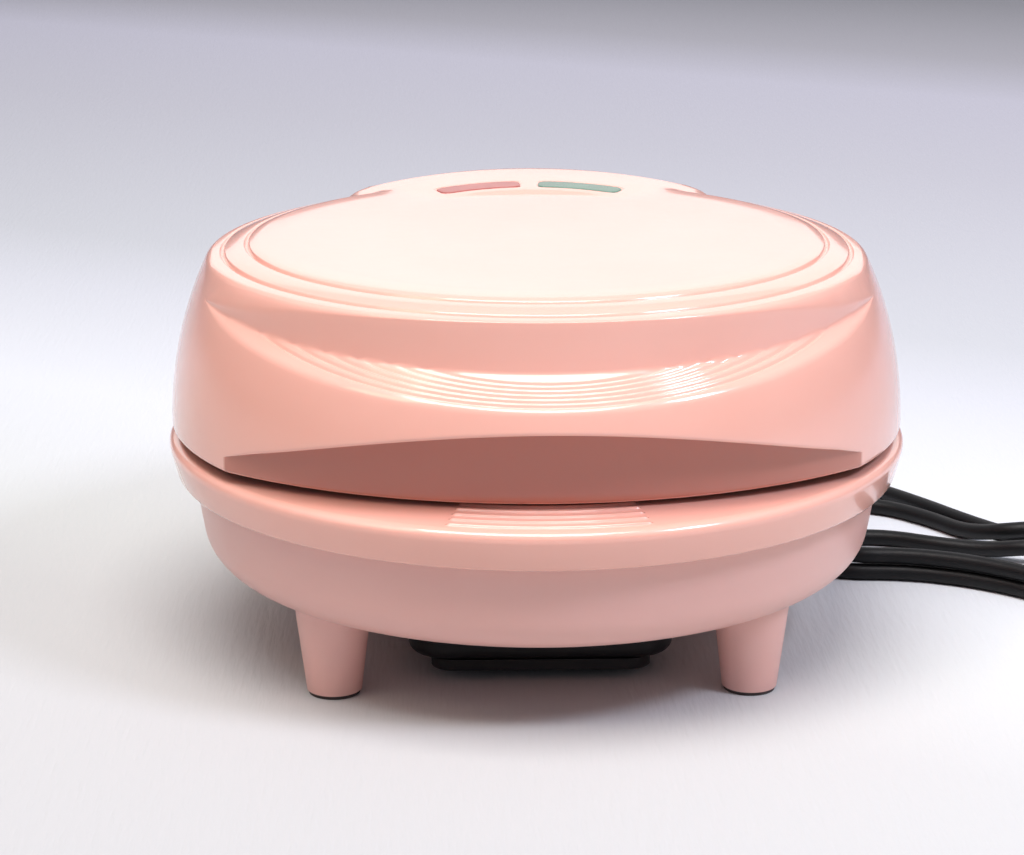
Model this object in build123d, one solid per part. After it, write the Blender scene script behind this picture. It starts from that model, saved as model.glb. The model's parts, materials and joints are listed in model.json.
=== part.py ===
"""Cupcake maker: a round countertop cooker with a hinged lid, seven wells and a mains cord.

Millimetres, +Z up. Every piece is drawn round the body's own axis, x = 0 and y = 0, with the
front towards -Y and the floor at z = 0. main() moves all of it along Y, so that the frame's
origin lies under the middle of the object, with its cord left out.
"""
from build123d import *
import math
import os

# Driving dimensions of the lid.
LID_R = 114.2            # outer radius at the bottom edge
LID_BASE_Z = 71.0        # height of the lid's bottom edge
LID_WALL = 2.5
SHOULDER_R = LID_R - 9.2     # where the side wall turns into the shoulder
SHOULDER_Z = 115.8
DISC_R = LID_R - 27.7        # flat round top
TOP_Z = 128.0
STEP_RS = (DISC_R + 3.3, DISC_R + 10.8)     # ring grooves round the disc
STEP_W = 1.8
STEP_DEPTH = 1.1

# Grip at the front of the lid: a ledge with fine grooves above a finger recess.
GRIP_WALL_R = LID_R - 4.9    # upright wall behind the ledge, as a cylinder
GRIP_WALL_Y = 10.3       # its axis, behind the body's axis
LEDGE_TILT = 8.4         # degrees that the ledge leans towards the front
LEDGE_SLOPE = 25.6       # degrees that it falls outwards
LEDGE_R = LID_R - 4.7        # radius of its outer edge
LEDGE_Z = 118.5          # height of its plane over the body's axis
GROOVES = 6
GROOVE_R = 76.0          # plan radius of the first groove
GROOVE_R_STEP = 4.0
GROOVE_REACH = LID_R - 12.0  # how far forward the first groove reaches
GROOVE_PITCH = 1.37
GROOVE_BACK_Y = -30.0        # where the grooves end at the sides
GROOVE_W = 0.7
GROOVE_DEPTH = 0.6
RECESS_R = 145.2         # back wall of the finger recess, in plan
RECESS_Y = 14.4 - LID_R
RECESS_ARCH_R = 243.0    # arch over the recess, seen from the front
RECESS_TOP_Z = 94.3

# Raised housing at the back of the lid, with the two lamp windows.
HUMP_FRONT_R = DISC_R - 21.5
HUMP_HALF = 62.0
HUMP_REAR_Y = LID_R - 4.2
HUMP_REAR_R = 75.0       # its rounded back, in plan
HUMP_TOP_Z = 130.5
HUMP_CROWN_R = 550.0     # its top is part of a ball
HUMP_CROWN_Y = HUMP_REAR_Y - 10     # where that top is highest
WINDOW_R = HUMP_FRONT_R + 8.5     # middle radius of the curved lamp windows
WINDOW_W = 8.2
WINDOW_START = 2.3       # degrees from the middle plane
WINDOW_SPAN = 22.0

# Base.
COLLAR_R = LID_R + 1.4
COLLAR_FOOT_R = COLLAR_R - 2.6
COLLAR_Z0 = 55.5
COLLAR_RIM_Z = 67.4
COLLAR_INNER_Z = 69.8
COLLAR_WALL = 2.6
COLLAR_EDGE = 3.0
PAN_R = COLLAR_FOOT_R - 5.1
PAN_TURN_R = PAN_R - 2.7
PAN_FLAT_R = PAN_TURN_R - 13.0
PAN_TURN_Z = 37.3
PAN_Z = 26.4
PAN_WALL = 2.5
RIBS = 5
RIB_R = COLLAR_R - 18.1      # first raised line on the collar
RIB_PITCH = 3.4
RIB_HALF_DEG = 15.0
RIB_W = 1.0
RIB_H = 0.6
FOOT_X = PAN_FLAT_R - 29.5
FOOT_Y = PAN_FLAT_R - 33.0
FOOT_TOP_R = 11.4
FOOT_R = 8.3
PAD_R = 7.7
PAD_H = 1.2

# Baking plates.
PLATE_R = COLLAR_R - 22.1
PLATE_GAP = 0.4
PLATE_Z = 69.6           # top of the lower plate
PLATE_T = 2.6
WELLS = 6                # in the ring round the middle well
WELL_RING_R = PLATE_R - 34.5
WELL_TOP_R = WELL_RING_R / 2 - 4.5
WELL_FOOT_R = WELL_TOP_R - 6.5
WELL_DEPTH = 24.0
DOME_DEPTH = 9.0
CUP_WALL = 2.4
BOSS_R = 4.5
BOSS_RING_R = PLATE_R - 13.5
HEATER_R = 3.25
HEATER_RING_R = WELL_RING_R
HEATER_GAP_DEG = 24.0
SHEET_T = 0.8
REFLECTOR_R = PLATE_R - 3.0
SHELF_R = PLATE_R - 6.2      # inner edge of the shelf and lip that the plates clamp
SHELF_T = 2.4
PLATE_CLEAR = 0.5
SEAT_GAP = 0.1

# Hinge.
BARREL_R = 7.0
HINGE_CLEAR = 1.4        # between the barrel and the collar
HINGE_Z = 70.0
PIN_R = 2.5
PIN_CLEAR = 0.05
ARM_HALF = 26.5
EAR_GAP = 0.5
EAR_T = 7.0
STOP_R = 9.6             # heel that meets the collar when the lid is open
STOP_CLEAR_DEG = 2.5
STOP_DEG = 24.0
LID_OPEN = 100.0

# Cord winder under the base.
WINDER_HALF_X = 40.5
WINDER_HALF_Y = 55.0
WINDER_HUB_X = 26.0
WINDER_HUB_Y = 38.0
WINDER_Z0 = 7.2
WINDER_Z1 = 13.0
WINDER_CAP = 3.4
WINDER_EDGE = 7.0
WINDER_CAP_Y = 53.5
WINDER_SCREW_Y = 20.0
WINDER_SCREW_Z = 8.0

# Fasteners.
SCREW_R = 1.75
SCREW_HEAD_R = 3.4
SCREW_HEAD_H = 1.6
SCREW_CLEAR = 0.05

# Mains cord. Its points are chosen by hand: the lead's in x, y and z, the coil's in plan.
CORD_R = 2.8
SLEEVE_X = 36.0
SLEEVE_Z = 41.0
SLEEVE_Y = PAN_R - 3.9       # outer face of the sleeve's collar
SLEEVE_L = 30.0
SLEEVE_R0 = 6.0
SLEEVE_R1 = 4.2
SLEEVE_NECK = 12.4       # from the collar to the end of the inner flange
LEAD_POINTS = (
    (36.0, 162.0, 41.0),
    (49.5, 185.5, 19.0),
    (84.8, 183.8, 2.8),
    (112.1, 155.1, 2.8),
    (139.3, 122.4, 2.8),
)
COIL_START = (154.6, 97.5)
COIL_LOOPS = 2
COIL_WAIST = ((185.9, 71.2, -1.5), (179.8, 67.3, 10.5))     # one for each loop: x, y, heading
COIL_LOBE = (            # shared by the loops, which lie on each other here
    (208.2, 79.6, 8.5),
    (247.2, 43.5, -91.5),
    (204.0, -2.3, 178.5),
    (161.6, 19.8, 138.5),
    (115.1, 39.0, 178.5),
)
COIL_END = (80.1, 77.9)          # far end of the first loop
COIL_BACK = (116.0, 114.0)
COIL_END_STEP = (17.5, -20.5)    # the next loop's end lies inside it
COIL_BACK_STEP = (1.0, -38.0)
COIL_CLOSE = ((150.4, 88.1, -58.5), (149.7, 64.1, -21.5))
COIL_LAYER = 6.2
COIL_STRAIGHT = 6.0      # straight length at each end
PLUG_L = 32.0
PLUG_W = 26.0
PLUG_H = 14.0
PLUG_X = 188.4
PLUG_Y = 51.1
PLUG_PIN_R = 2.0
PLUG_PIN_L = 18.0
PLUG_PIN_GAP = 19.0


def revolved(outline):
    """Turn an outline drawn in (radius, height) round the body's axis."""
    return revolve(make_face(Plane.XZ * outline), Axis.Z)


def ring(r_out, r_in, z0, z1):
    """A flat-ended ring between two radii and two heights."""
    return Pos(0, 0, z0) * extrude(Circle(r_out) - Circle(r_in), z1 - z0)


def rod(r, z0, z1, x=0.0, y=0.0):
    """An upright round bar."""
    return Pos(x, y, z0) * extrude(Circle(r), z1 - z0)


def polar(r, deg):
    """Plan position at a radius and an angle from +X."""
    return r * math.cos(math.radians(deg)), r * math.sin(math.radians(deg))


def lid_body(inset):
    """Solid of revolution of the lid; inset draws the inside of its wall."""
    base = (LID_R - inset, LID_BASE_Z)
    shoulder = (SHOULDER_R - inset, SHOULDER_Z - inset / 3)
    disc = (DISC_R - inset, TOP_Z - inset)
    side = TangentArc(base, shoulder, tangent=(0, 1))
    turn = TangentArc(shoulder, disc, tangent=side % 1)
    rest = Polyline(disc, (0, disc[1]), (0, LID_BASE_Z), base)
    return revolved(side + turn + rest)


def above_ledge(drop):
    """Space over the sloping ledge, lowered by drop."""
    slope = math.tan(math.radians(LEDGE_SLOPE))
    inner, outer, top = LEDGE_R / 2, LEDGE_R + 20, LEDGE_R / 2
    outline = Polyline(
        (inner, slope * (LEDGE_R - inner) - drop),
        (outer, slope * (LEDGE_R - outer) - drop),
        (outer, top),
        (inner, top),
        (inner, slope * (LEDGE_R - inner) - drop),
    )
    return Pos(0, 0, LEDGE_Z) * Rot(LEDGE_TILT, 0, 0) * revolved(outline)


def grip_wall(grow):
    """Upright cylinder behind the ledge."""
    return rod(GRIP_WALL_R + grow, LID_BASE_Z - 10, TOP_Z + 40, 0, GRIP_WALL_Y)


def front_half(back_y=0.0):
    """Space in front of back_y, round the whole height of the lid."""
    return Pos(0, back_y - LID_R, TOP_Z - 18) * Box(3 * LID_R, 2 * LID_R, 100)


def ledge_cut(wall=0.0):
    """What the ledge takes from the lid; wall draws the same cut for the inside."""
    return (above_ledge(wall) - grip_wall(-wall)) & front_half()


def groove_cut():
    """Fine grooves along the ledge, each an arc of its own circle."""
    depth = above_ledge(GROOVE_DEPTH) - grip_wall(0)
    cuts = []
    for k in range(GROOVES):
        r = GROOVE_R + GROOVE_R_STEP * k
        y = r - GROOVE_REACH - GROOVE_PITCH * k
        tube = Pos(0, y, 0) * ring(r + GROOVE_W / 2, r - GROOVE_W / 2, LID_BASE_Z, TOP_Z + 7)
        cuts.append(tube & depth & front_half(GROOVE_BACK_Y))
    return cuts


def recess_cut(wall=0.0):
    """Finger recess: outside a wide cylinder and under an arch."""
    back = rod(RECESS_R - wall, LID_BASE_Z - 20, TOP_Z, 0, RECESS_Y + RECESS_R)
    arch_r = RECESS_ARCH_R + wall
    arch = Pos(0, 0, RECESS_TOP_Z + wall - arch_r) * Rot(90, 0, 0) * extrude(Circle(arch_r), 2 * LID_R)
    low = Pos(0, -LID_R, LID_BASE_Z + 9) * Box(3 * LID_R, 1.3 * LID_R, 40)
    return (arch & low) - back


def hump_plan(grow):
    """Plan of the raised housing: an arc in front, straight sides and a rounded back."""
    sides = Pos(0, LID_R) * Rectangle(2 * (HUMP_HALF - grow), 2 * LID_R)
    back = Pos(0, HUMP_REAR_Y - HUMP_REAR_R) * Circle(HUMP_REAR_R - grow)
    return (sides & back) - Circle(HUMP_FRONT_R + grow)


def crown(drop):
    """Ball whose top is the crowned top of the raised housing, lowered by drop."""
    return Pos(0, HUMP_CROWN_Y, HUMP_TOP_Z - drop - HUMP_CROWN_R) * Sphere(HUMP_CROWN_R)


def hump(grow=0.0):
    """Raised housing with a gently crowned top; its back runs down to the lid's bottom edge."""
    block = Pos(0, 0, LID_BASE_Z) * extrude(hump_plan(grow), HUMP_TOP_Z + 5 - LID_BASE_Z)
    return block & crown(grow)


def window(side, r_grow, deg_grow):
    """Plan of one curved lamp window; side is -1 or 1."""
    start = 90 - side * (WINDOW_START - deg_grow)
    end = 90 - side * (WINDOW_START + WINDOW_SPAN + deg_grow)
    mid = (start + end) / 2
    inner, outer = WINDOW_R - WINDOW_W / 2 - r_grow, WINDOW_R + WINDOW_W / 2 + r_grow
    inside = ThreePointArc(polar(inner, start), polar(inner, mid), polar(inner, end))
    outside = ThreePointArc(polar(outer, end), polar(outer, mid), polar(outer, start))
    sides = Line(inside @ 1, outside @ 0) + Line(outside @ 1, inside @ 0)
    return make_face(inside + outside + sides)


HINGE_Y = COLLAR_R + HINGE_CLEAR + BARREL_R


def arm():
    """Knuckle of the lid: a barrel round the pin and the web up to the raised housing."""
    top_z = TOP_Z - 2
    inner_y = LID_R - 3 * LID_WALL - BARREL_R
    hump_y = HUMP_REAR_Y - HUMP_REAR_R + math.sqrt(HUMP_REAR_R ** 2 - ARM_HALF ** 2)
    back = (HINGE_Y + BARREL_R, HINGE_Z)
    web = Polyline(
        back,
        (hump_y, top_z),
        (inner_y, top_z),
        (inner_y, LID_BASE_Z + 0.5),
        (HINGE_Y, LID_BASE_Z + 0.5),
        (HINGE_Y, HINGE_Z),
        back,
    )
    side = extrude(make_face(Plane.YZ * web), ARM_HALF, both=True)
    barrel = Pos(0, HINGE_Y, HINGE_Z) * Rot(0, 90, 0) * extrude(Circle(BARREL_R), ARM_HALF, both=True)
    return side + barrel + stop_heel()


def stop_heel():
    """Heel on the barrel that meets the collar when the lid is fully open."""
    reach = math.degrees(math.acos((HINGE_Y - COLLAR_R) / STOP_R))
    lead = 180 + reach + LID_OPEN + STOP_CLEAR_DEG
    inner = BARREL_R - 1.5
    heel = Polyline(
        polar(inner, lead),
        polar(STOP_R, lead),
        polar(STOP_R, lead + STOP_DEG),
        polar(inner, lead + STOP_DEG),
        polar(inner, lead),
    )
    face = make_face(Plane.YZ * heel)
    return Pos(0, HINGE_Y, HINGE_Z) * extrude(face, ARM_HALF / 2, both=True)


def pin_hole(clear):
    """Bore for the hinge pin."""
    return Pos(0, HINGE_Y, HINGE_Z) * Rot(0, 90, 0) * extrude(Circle(PIN_R + clear), 60, both=True)


LID_POSTS = (25.0, 155.0, -22.0, 202.0)      # degrees
LID_POST_R = LID_R - 12.9
RING_Z = LID_BASE_Z + 0.6
RING_T = 2.6
PAN_POSTS = (20.0, 160.0, 200.0, 340.0)
PAN_POST_R = PAN_R - 10.7
PAN_POST_Z = 36.0
PLATE_POSTS = (90.0, 210.0, 330.0)
WELL_PLACES = [(0.0, 0.0)] + [polar(WELL_RING_R, 360 * k / WELLS) for k in range(WELLS)]

# Heights that follow from the ones above.
SHELF_Z = PLATE_Z - PLATE_T
COLLAR_INNER_R = PLATE_R + PLATE_CLEAR
WELL_FOOT_Z = PLATE_Z - WELL_DEPTH
LOWER_HEATER_Z = WELL_FOOT_Z - CUP_WALL - SEAT_GAP - HEATER_R
LOWER_SHEET_Z = LOWER_HEATER_Z - HEATER_R - SEAT_GAP
UPPER_Z = PLATE_Z + PLATE_GAP
UPPER_HEATER_Z = UPPER_Z + DOME_DEPTH + CUP_WALL + SEAT_GAP + HEATER_R
UPPER_SHEET_Z = UPPER_HEATER_Z + HEATER_R + SEAT_GAP
LIP_Z = UPPER_Z + PLATE_T + SEAT_GAP
PAN_FLOOR_Z = PAN_Z + PAN_WALL

LAMP_R = 2.6
LAMP_L = 11.0
LAMP_Y = WINDOW_R - 2.0
LENS_Z = TOP_Z - 4.0
LAMP_Z = LENS_Z - 0.2 - LAMP_R
HOLDER_Z = 110.4
HOLDER_T = 1.6
HOLDER_X = 38.0


def step_z(r):
    """Floor of the ring groove at radius r, below the shoulder there."""
    share = (r - DISC_R) / (SHOULDER_R - DISC_R)
    return TOP_Z - (TOP_Z - SHOULDER_Z) * 0.72 * share ** 2 - STEP_DEPTH


def screws(places, z_head, up, length):
    """Pan-head screws at plan places; up is 1 where the shank points up from the head."""
    group = []
    for x, y in places:
        head = sorted((z_head, z_head + up * SCREW_HEAD_H))
        shank = sorted((z_head + up * SCREW_HEAD_H, z_head + up * (SCREW_HEAD_H + length)))
        group.append((rod(SCREW_HEAD_R, *head, x, y) + rod(SCREW_R, *shank, x, y)).solid())
    return Compound(group)


def lid_shell():
    """Lid housing: skin, raised housing, hinge arm, grip, recess and screw posts."""
    windows = [Pos(0, 0, 90) * extrude(window(side, 0, 0), 60) for side in (-1, 1)]
    steps = [ring(r + STEP_W / 2, r - STEP_W / 2, step_z(r), TOP_Z + 5) for r in STEP_RS]
    outside = lid_body(0) - steps + hump() + arm()
    outside = outside - ledge_cut() - groove_cut() - recess_cut()
    inside = (lid_body(LID_WALL) + hump(LID_WALL)) - ledge_cut(LID_WALL) - recess_cut(LID_WALL)
    shell = outside - inside - windows
    places = [polar(LID_POST_R, deg) for deg in LID_POSTS]
    for x, y in places:
        shell = shell + (rod(BOSS_R, RING_Z + RING_T, TOP_Z - 6, x, y) & lid_body(LID_WALL / 2))
    for side in (-1, 1):
        shell = shell + rod(BOSS_R - 1.5, HOLDER_Z + HOLDER_T, TOP_Z - 1.2, side * HOLDER_X, LAMP_Y)
    for x, y in places:
        shell = shell - rod(SCREW_R + SCREW_CLEAR, RING_Z, RING_Z + RING_T + 12, x, y)
    return shell - pin_hole(PIN_CLEAR)


def lid_ring():
    """Frame under the lid that clamps the upper plate's flange and closes the housing."""
    outer = LID_R - LID_WALL - 0.3
    outline = Polyline(
        (COLLAR_INNER_R, RING_Z),
        (outer, RING_Z),
        (outer, RING_Z + RING_T),
        (COLLAR_INNER_R + COLLAR_WALL, RING_Z + RING_T),
        (COLLAR_INNER_R + COLLAR_WALL, LIP_Z + SHELF_T),
        (SHELF_R, LIP_Z + SHELF_T),
        (SHELF_R, LIP_Z),
        (COLLAR_INNER_R, LIP_Z),
        (COLLAR_INNER_R, RING_Z),
    )
    frame = revolved(outline) - recess_cut(LID_WALL + 0.3)
    for deg in LID_POSTS:
        x, y = polar(LID_POST_R, deg)
        frame = frame - rod(SCREW_R + 0.2, RING_Z, RING_Z + RING_T, x, y)
        frame = frame - rod(SCREW_HEAD_R + 0.2, RING_Z, RING_Z + SCREW_HEAD_H, x, y)
    return frame


def cup(top_r, foot_r, z_foot, z_top, edge):
    """Tapered cup with a rounded foot, on the body's axis."""
    wall = Line((top_r, z_top), (foot_r, z_foot + edge))
    turn = ThreePointArc(
        (foot_r, z_foot + edge),
        (foot_r - edge * 0.29, z_foot + edge * 0.29),
        (foot_r - edge, z_foot),
    )
    rest = Polyline((foot_r - edge, z_foot), (0, z_foot), (0, z_top), (top_r, z_top))
    return revolved(wall + turn + rest)


def lower_plate():
    """Cast plate with a flange, seven wells and three screw bosses."""
    plate = rod(PLATE_R, SHELF_Z, PLATE_Z)
    shell = cup(WELL_TOP_R + CUP_WALL, WELL_FOOT_R + CUP_WALL, WELL_FOOT_Z - CUP_WALL, PLATE_Z, 5.0)
    well = cup(WELL_TOP_R, WELL_FOOT_R, WELL_FOOT_Z, PLATE_Z, 3.5)
    plate = plate + [Pos(x, y, 0) * shell for x, y in WELL_PLACES]
    for deg in PLATE_POSTS:
        x, y = polar(BOSS_RING_R, deg)
        plate = plate + rod(BOSS_R, LOWER_SHEET_Z + SEAT_GAP, SHELF_Z + 1, x, y)
        plate = plate - rod(SCREW_R + SCREW_CLEAR, LOWER_SHEET_Z, LOWER_SHEET_Z + 13, x, y)
    return plate - [Pos(x, y, 0) * well for x, y in WELL_PLACES]


def dome(grow):
    """Shallow dome over one well; grow draws its outside."""
    r, depth = WELL_TOP_R + grow, DOME_DEPTH + grow
    ball = (WELL_TOP_R ** 2 + DOME_DEPTH ** 2) / (2 * DOME_DEPTH)
    foot = UPPER_Z if grow == 0 else UPPER_Z + PLATE_T - 1
    top = UPPER_Z + depth
    centre = UPPER_Z + DOME_DEPTH - ball
    edge_r = math.sqrt((ball + grow) ** 2 - (foot - centre) ** 2)
    half = math.radians(90) - math.asin(edge_r / (ball + grow)) / 2
    mid = ((ball + grow) * math.cos(half), centre + (ball + grow) * math.sin(half))
    outline = ThreePointArc((edge_r, foot), mid, (0, top)) + Polyline((0, top), (0, foot), (edge_r, foot))
    return revolved(outline)


def upper_plate():
    """Cast plate with a shallow dome over each well."""
    plate = rod(PLATE_R, UPPER_Z, UPPER_Z + PLATE_T)
    plate = plate + [Pos(x, y, 0) * dome(CUP_WALL) for x, y in WELL_PLACES]
    for deg in PLATE_POSTS:
        x, y = polar(BOSS_RING_R, deg)
        plate = plate + rod(BOSS_R, UPPER_Z + PLATE_T - 1, UPPER_SHEET_Z - SEAT_GAP, x, y)
        plate = plate - rod(SCREW_R + SCREW_CLEAR, UPPER_SHEET_Z - 10, UPPER_SHEET_Z, x, y)
    return plate - [Pos(x, y, 0) * dome(0) for x, y in WELL_PLACES]


def heater(z, tail):
    """Tubular element bent to a ring, open at the back, with two straight tails."""
    start = 90 + HEATER_GAP_DEG / 2
    section = Pos(HEATER_RING_R, 0, z) * Rot(90, 0, 0) * Circle(HEATER_R)
    tube = Rot(0, 0, start) * revolve(section, Axis.Z, 360 - HEATER_GAP_DEG)
    for deg in (start, 180 - start):
        x, y = polar(HEATER_RING_R, deg)
        low, high = sorted((z, z + tail))
        tube = tube + rod(HEATER_R * 0.7, low, high, x, y)
    return tube


def reflector(z, skirt):
    """Sheet pan behind an element; its skirt reaches to the shelf or lip that it clamps."""
    low, high = sorted((z, z + skirt))
    pan = rod(REFLECTOR_R, low, high)
    hollow = (low - 1, high - SHEET_T) if skirt < 0 else (low + SHEET_T, high + 1)
    pan = pan - rod(REFLECTOR_R - SHEET_T, *hollow)
    for deg in PLATE_POSTS:
        pan = pan - rod(SCREW_R + 0.2, low - 1, high + 1, *polar(BOSS_RING_R, deg))
    for deg in (90 + HEATER_GAP_DEG / 2, 90 - HEATER_GAP_DEG / 2):
        pan = pan - rod(HEATER_R + 0.6, low - 1, high + 1, *polar(HEATER_RING_R, deg))
    return pan


def lens(side):
    """Coloured window, flush with the raised housing, on a flange under its roof."""
    light = Pos(0, 0, LENS_Z) * extrude(window(side, -0.1, -0.1), HUMP_TOP_Z + 4 - LENS_Z)
    flange = Pos(0, 0, LENS_Z) * extrude(window(side, 1.2, 0.9), TOP_Z - LID_WALL - 0.1 - LENS_Z)
    return (light & crown(0)) + flange


def lamp_x():
    """Distance of each lamp from the middle plane."""
    return WINDOW_R * math.sin(math.radians(WINDOW_START + WINDOW_SPAN / 2))


def lamp(side):
    """Small glow lamp that lies under its window."""
    bulb = Pos(side * lamp_x(), LAMP_Y, LAMP_Z) * Rot(0, 90, 0)
    return bulb * extrude(Circle(LAMP_R), LAMP_L / 2, both=True)


def lamp_holder():
    """Bar with a cradle for each lamp, screwed to two posts of the lid."""
    width = 2 * HOLDER_X + 8
    bar = Pos(0, LAMP_Y, HOLDER_Z + HOLDER_T / 2) * Box(width, 10, HOLDER_T)
    height = LAMP_Z - HOLDER_Z
    for side in (-1, 1):
        bar = bar + Pos(side * lamp_x(), LAMP_Y, HOLDER_Z + height / 2) * Box(8, 8, height)
        seat = Pos(side * lamp_x(), LAMP_Y, LAMP_Z) * Rot(0, 90, 0)
        bar = bar - seat * extrude(Circle(LAMP_R + SCREW_CLEAR), LAMP_L, both=True)
    return bar


def ledge_z(r):
    """Height of the collar's sloping top at radius r."""
    outer, inner = COLLAR_R - COLLAR_EDGE, COLLAR_INNER_R + 1.2
    return COLLAR_RIM_Z + (COLLAR_INNER_Z - COLLAR_RIM_Z) * (outer - r) / (outer - inner)


def base_collar():
    """Glossy band round the lower plate, with its shelf, raised lines, posts and hinge ears."""
    bend = 0.29 * COLLAR_EDGE
    inner_skin = COLLAR_R - COLLAR_WALL
    rim = ThreePointArc(
        (COLLAR_R, COLLAR_RIM_Z - COLLAR_EDGE),
        (COLLAR_R - bend, COLLAR_RIM_Z - bend),
        (COLLAR_R - COLLAR_EDGE, COLLAR_RIM_Z),
    )
    rest = Polyline(
        rim @ 1,
        (COLLAR_INNER_R + 1.2, COLLAR_INNER_Z),
        (COLLAR_INNER_R, COLLAR_INNER_Z - 1.2),
        (COLLAR_INNER_R, SHELF_Z),
        (SHELF_R, SHELF_Z),
        (SHELF_R, SHELF_Z - SHELF_T),
        (COLLAR_INNER_R + COLLAR_WALL, SHELF_Z - SHELF_T),
        (inner_skin, COLLAR_RIM_Z - COLLAR_WALL - 0.6),
        (COLLAR_FOOT_R - COLLAR_WALL, COLLAR_Z0 + COLLAR_WALL),
        (PAN_R - PAN_WALL - 1.5, COLLAR_Z0 + COLLAR_WALL),
        (PAN_R - PAN_WALL - 1.5, COLLAR_Z0),
        (COLLAR_FOOT_R, COLLAR_Z0),
        rim @ 0,
    )
    collar = revolved(rim + rest)
    ends = [polar(2 * COLLAR_R, -90 + side * RIB_HALF_DEG) for side in (-1, 1)]
    front = Polyline((0, 0), *ends, (0, 0))
    wedge = Pos(0, 0, COLLAR_Z0) * extrude(make_face(front), 30)
    for k in range(RIBS):
        r = RIB_R + RIB_PITCH * k
        line = ring(r + RIB_W / 2, r - RIB_W / 2, ledge_z(r) - 1, ledge_z(r) + RIB_H)
        collar = collar + (line & wedge)
    for deg in PAN_POSTS:
        x, y = polar(PAN_POST_R, deg)
        collar = collar + rod(BOSS_R, PAN_POST_Z, SHELF_Z - SHELF_T + 0.6, x, y)
        collar = collar - rod(SCREW_R + SCREW_CLEAR, PAN_POST_Z, PAN_POST_Z + 14, x, y)
    for side in (-1, 1):
        collar = collar + hinge_ear(side)
    return collar - pin_hole(0)


def hinge_ear(side):
    """Ear that holds one end of the hinge pin."""
    root_y = COLLAR_R - 6
    neck = Polyline(
        (root_y, COLLAR_Z0 + 2),
        (HINGE_Y + 2, HINGE_Z - BARREL_R + 0.4),
        (HINGE_Y + 2, HINGE_Z),
        (HINGE_Y - BARREL_R, HINGE_Z),
        (HINGE_Y - BARREL_R, COLLAR_RIM_Z - 1),
        (root_y, COLLAR_RIM_Z - 1),
        (root_y, COLLAR_Z0 + 2),
    )
    face = make_face(Plane.YZ * neck) + Pos(0, HINGE_Y, HINGE_Z) * Rot(90, 0, 90) * Circle(BARREL_R)
    start = ARM_HALF + EAR_GAP if side > 0 else -ARM_HALF - EAR_GAP - EAR_T
    return Pos(start, 0, 0) * extrude(face, EAR_T, dir=(1, 0, 0))


def pan_body(inset):
    """Solid of revolution of the pan; inset draws its inside."""
    flat = (PAN_FLAT_R, PAN_Z + inset)
    turn = (PAN_TURN_R - inset, PAN_TURN_Z)
    top = (PAN_R - inset, COLLAR_Z0)
    floor = TangentArc(flat, turn, tangent=(1, 0))
    wall = TangentArc(turn, top, tangent=floor % 1)
    rest = Polyline(top, (0, COLLAR_Z0), (0, flat[1]), flat)
    return revolved(floor + wall + rest)


def base_pan():
    """Bowl that closes the base from below."""
    pan = pan_body(0) - pan_body(PAN_WALL)
    for deg in PAN_POSTS:
        x, y = polar(PAN_POST_R, deg)
        pan = pan + (rod(BOSS_R, PAN_Z, PAN_POST_Z, x, y) & pan_body(0))
        pan = pan - rod(SCREW_R + 0.2, PAN_Z, PAN_POST_Z, x, y)
        pan = pan - rod(SCREW_HEAD_R + 0.3, PAN_Z, PAN_POST_Z - 3, x, y)
    for side in (-1, 1):
        y = side * WINDER_SCREW_Y
        pan = pan + rod(BOSS_R, PAN_Z, LOWER_SHEET_Z - 1.2, 0, y)
        pan = pan - rod(SCREW_R + SCREW_CLEAR, PAN_Z, LOWER_SHEET_Z - 1.2, 0, y)
    hole = Pos(SLEEVE_X, SLEEVE_Y - 14, SLEEVE_Z) * Rot(-90, 0, 0) * extrude(Circle(SLEEVE_R0 - 1), 20)
    return pan - hole


def foot(x, y):
    """Tapered foot under the pan."""
    slope = (FOOT_TOP_R - FOOT_R) / (PAN_Z - PAD_H)
    top = PAN_Z + 4
    cone = Pos(x, y, (PAD_H + top) / 2) * Cone(FOOT_R, FOOT_R + slope * (top - PAD_H), top - PAD_H)
    return cone - pan_body(0)


def rounded_slab(half_x, half_y, z0, z1, corner):
    """Flat block with rounded corners in plan."""
    return Pos(0, 0, z0) * extrude(RectangleRounded(2 * half_x, 2 * half_y, corner), z1 - z0)


def cord_winder():
    """Hub and flange under the base, round which the cord is wound."""
    flange = rounded_slab(WINDER_HALF_X, WINDER_HALF_Y, WINDER_Z0, WINDER_Z1, WINDER_EDGE + 5)
    flange = fillet(flange.edges().group_by(Axis.Z)[0], WINDER_EDGE / 2)
    cap_z = WINDER_Z0 - WINDER_CAP
    cap = rounded_slab(WINDER_HALF_X - WINDER_EDGE, WINDER_CAP_Y, cap_z, WINDER_Z0, WINDER_EDGE)
    hub = rounded_slab(WINDER_HUB_X, WINDER_HUB_Y, WINDER_Z1, PAN_Z, WINDER_EDGE)
    winder = flange + cap + hub
    for side in (-1, 1):
        y = side * WINDER_SCREW_Y
        winder = winder - rod(SCREW_R + 0.2, cap_z, PAN_Z, 0, y)
        winder = winder - rod(SCREW_HEAD_R + 0.3, cap_z, WINDER_SCREW_Z + SCREW_HEAD_H, 0, y)
    return winder


def cord_sleeve():
    """Tapered rubber sleeve through the pan's wall, with a collar on each side of it."""
    back = Pos(SLEEVE_X, SLEEVE_Y, SLEEVE_Z) * Rot(-90, 0, 0)
    taper = back * Pos(0, 0, SLEEVE_L / 2) * Cone(SLEEVE_R0, SLEEVE_R1, SLEEVE_L)
    outer = back * extrude(Circle(SLEEVE_R0 + 1.6), 2)
    neck = back * Pos(0, 0, -SLEEVE_NECK) * extrude(Circle(SLEEVE_R0 - 1.1), SLEEVE_NECK + 1)
    inner = back * Pos(0, 0, -SLEEVE_NECK) * extrude(Circle(SLEEVE_R0 + 1), 2.4)
    return taper + outer + neck + inner


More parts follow.
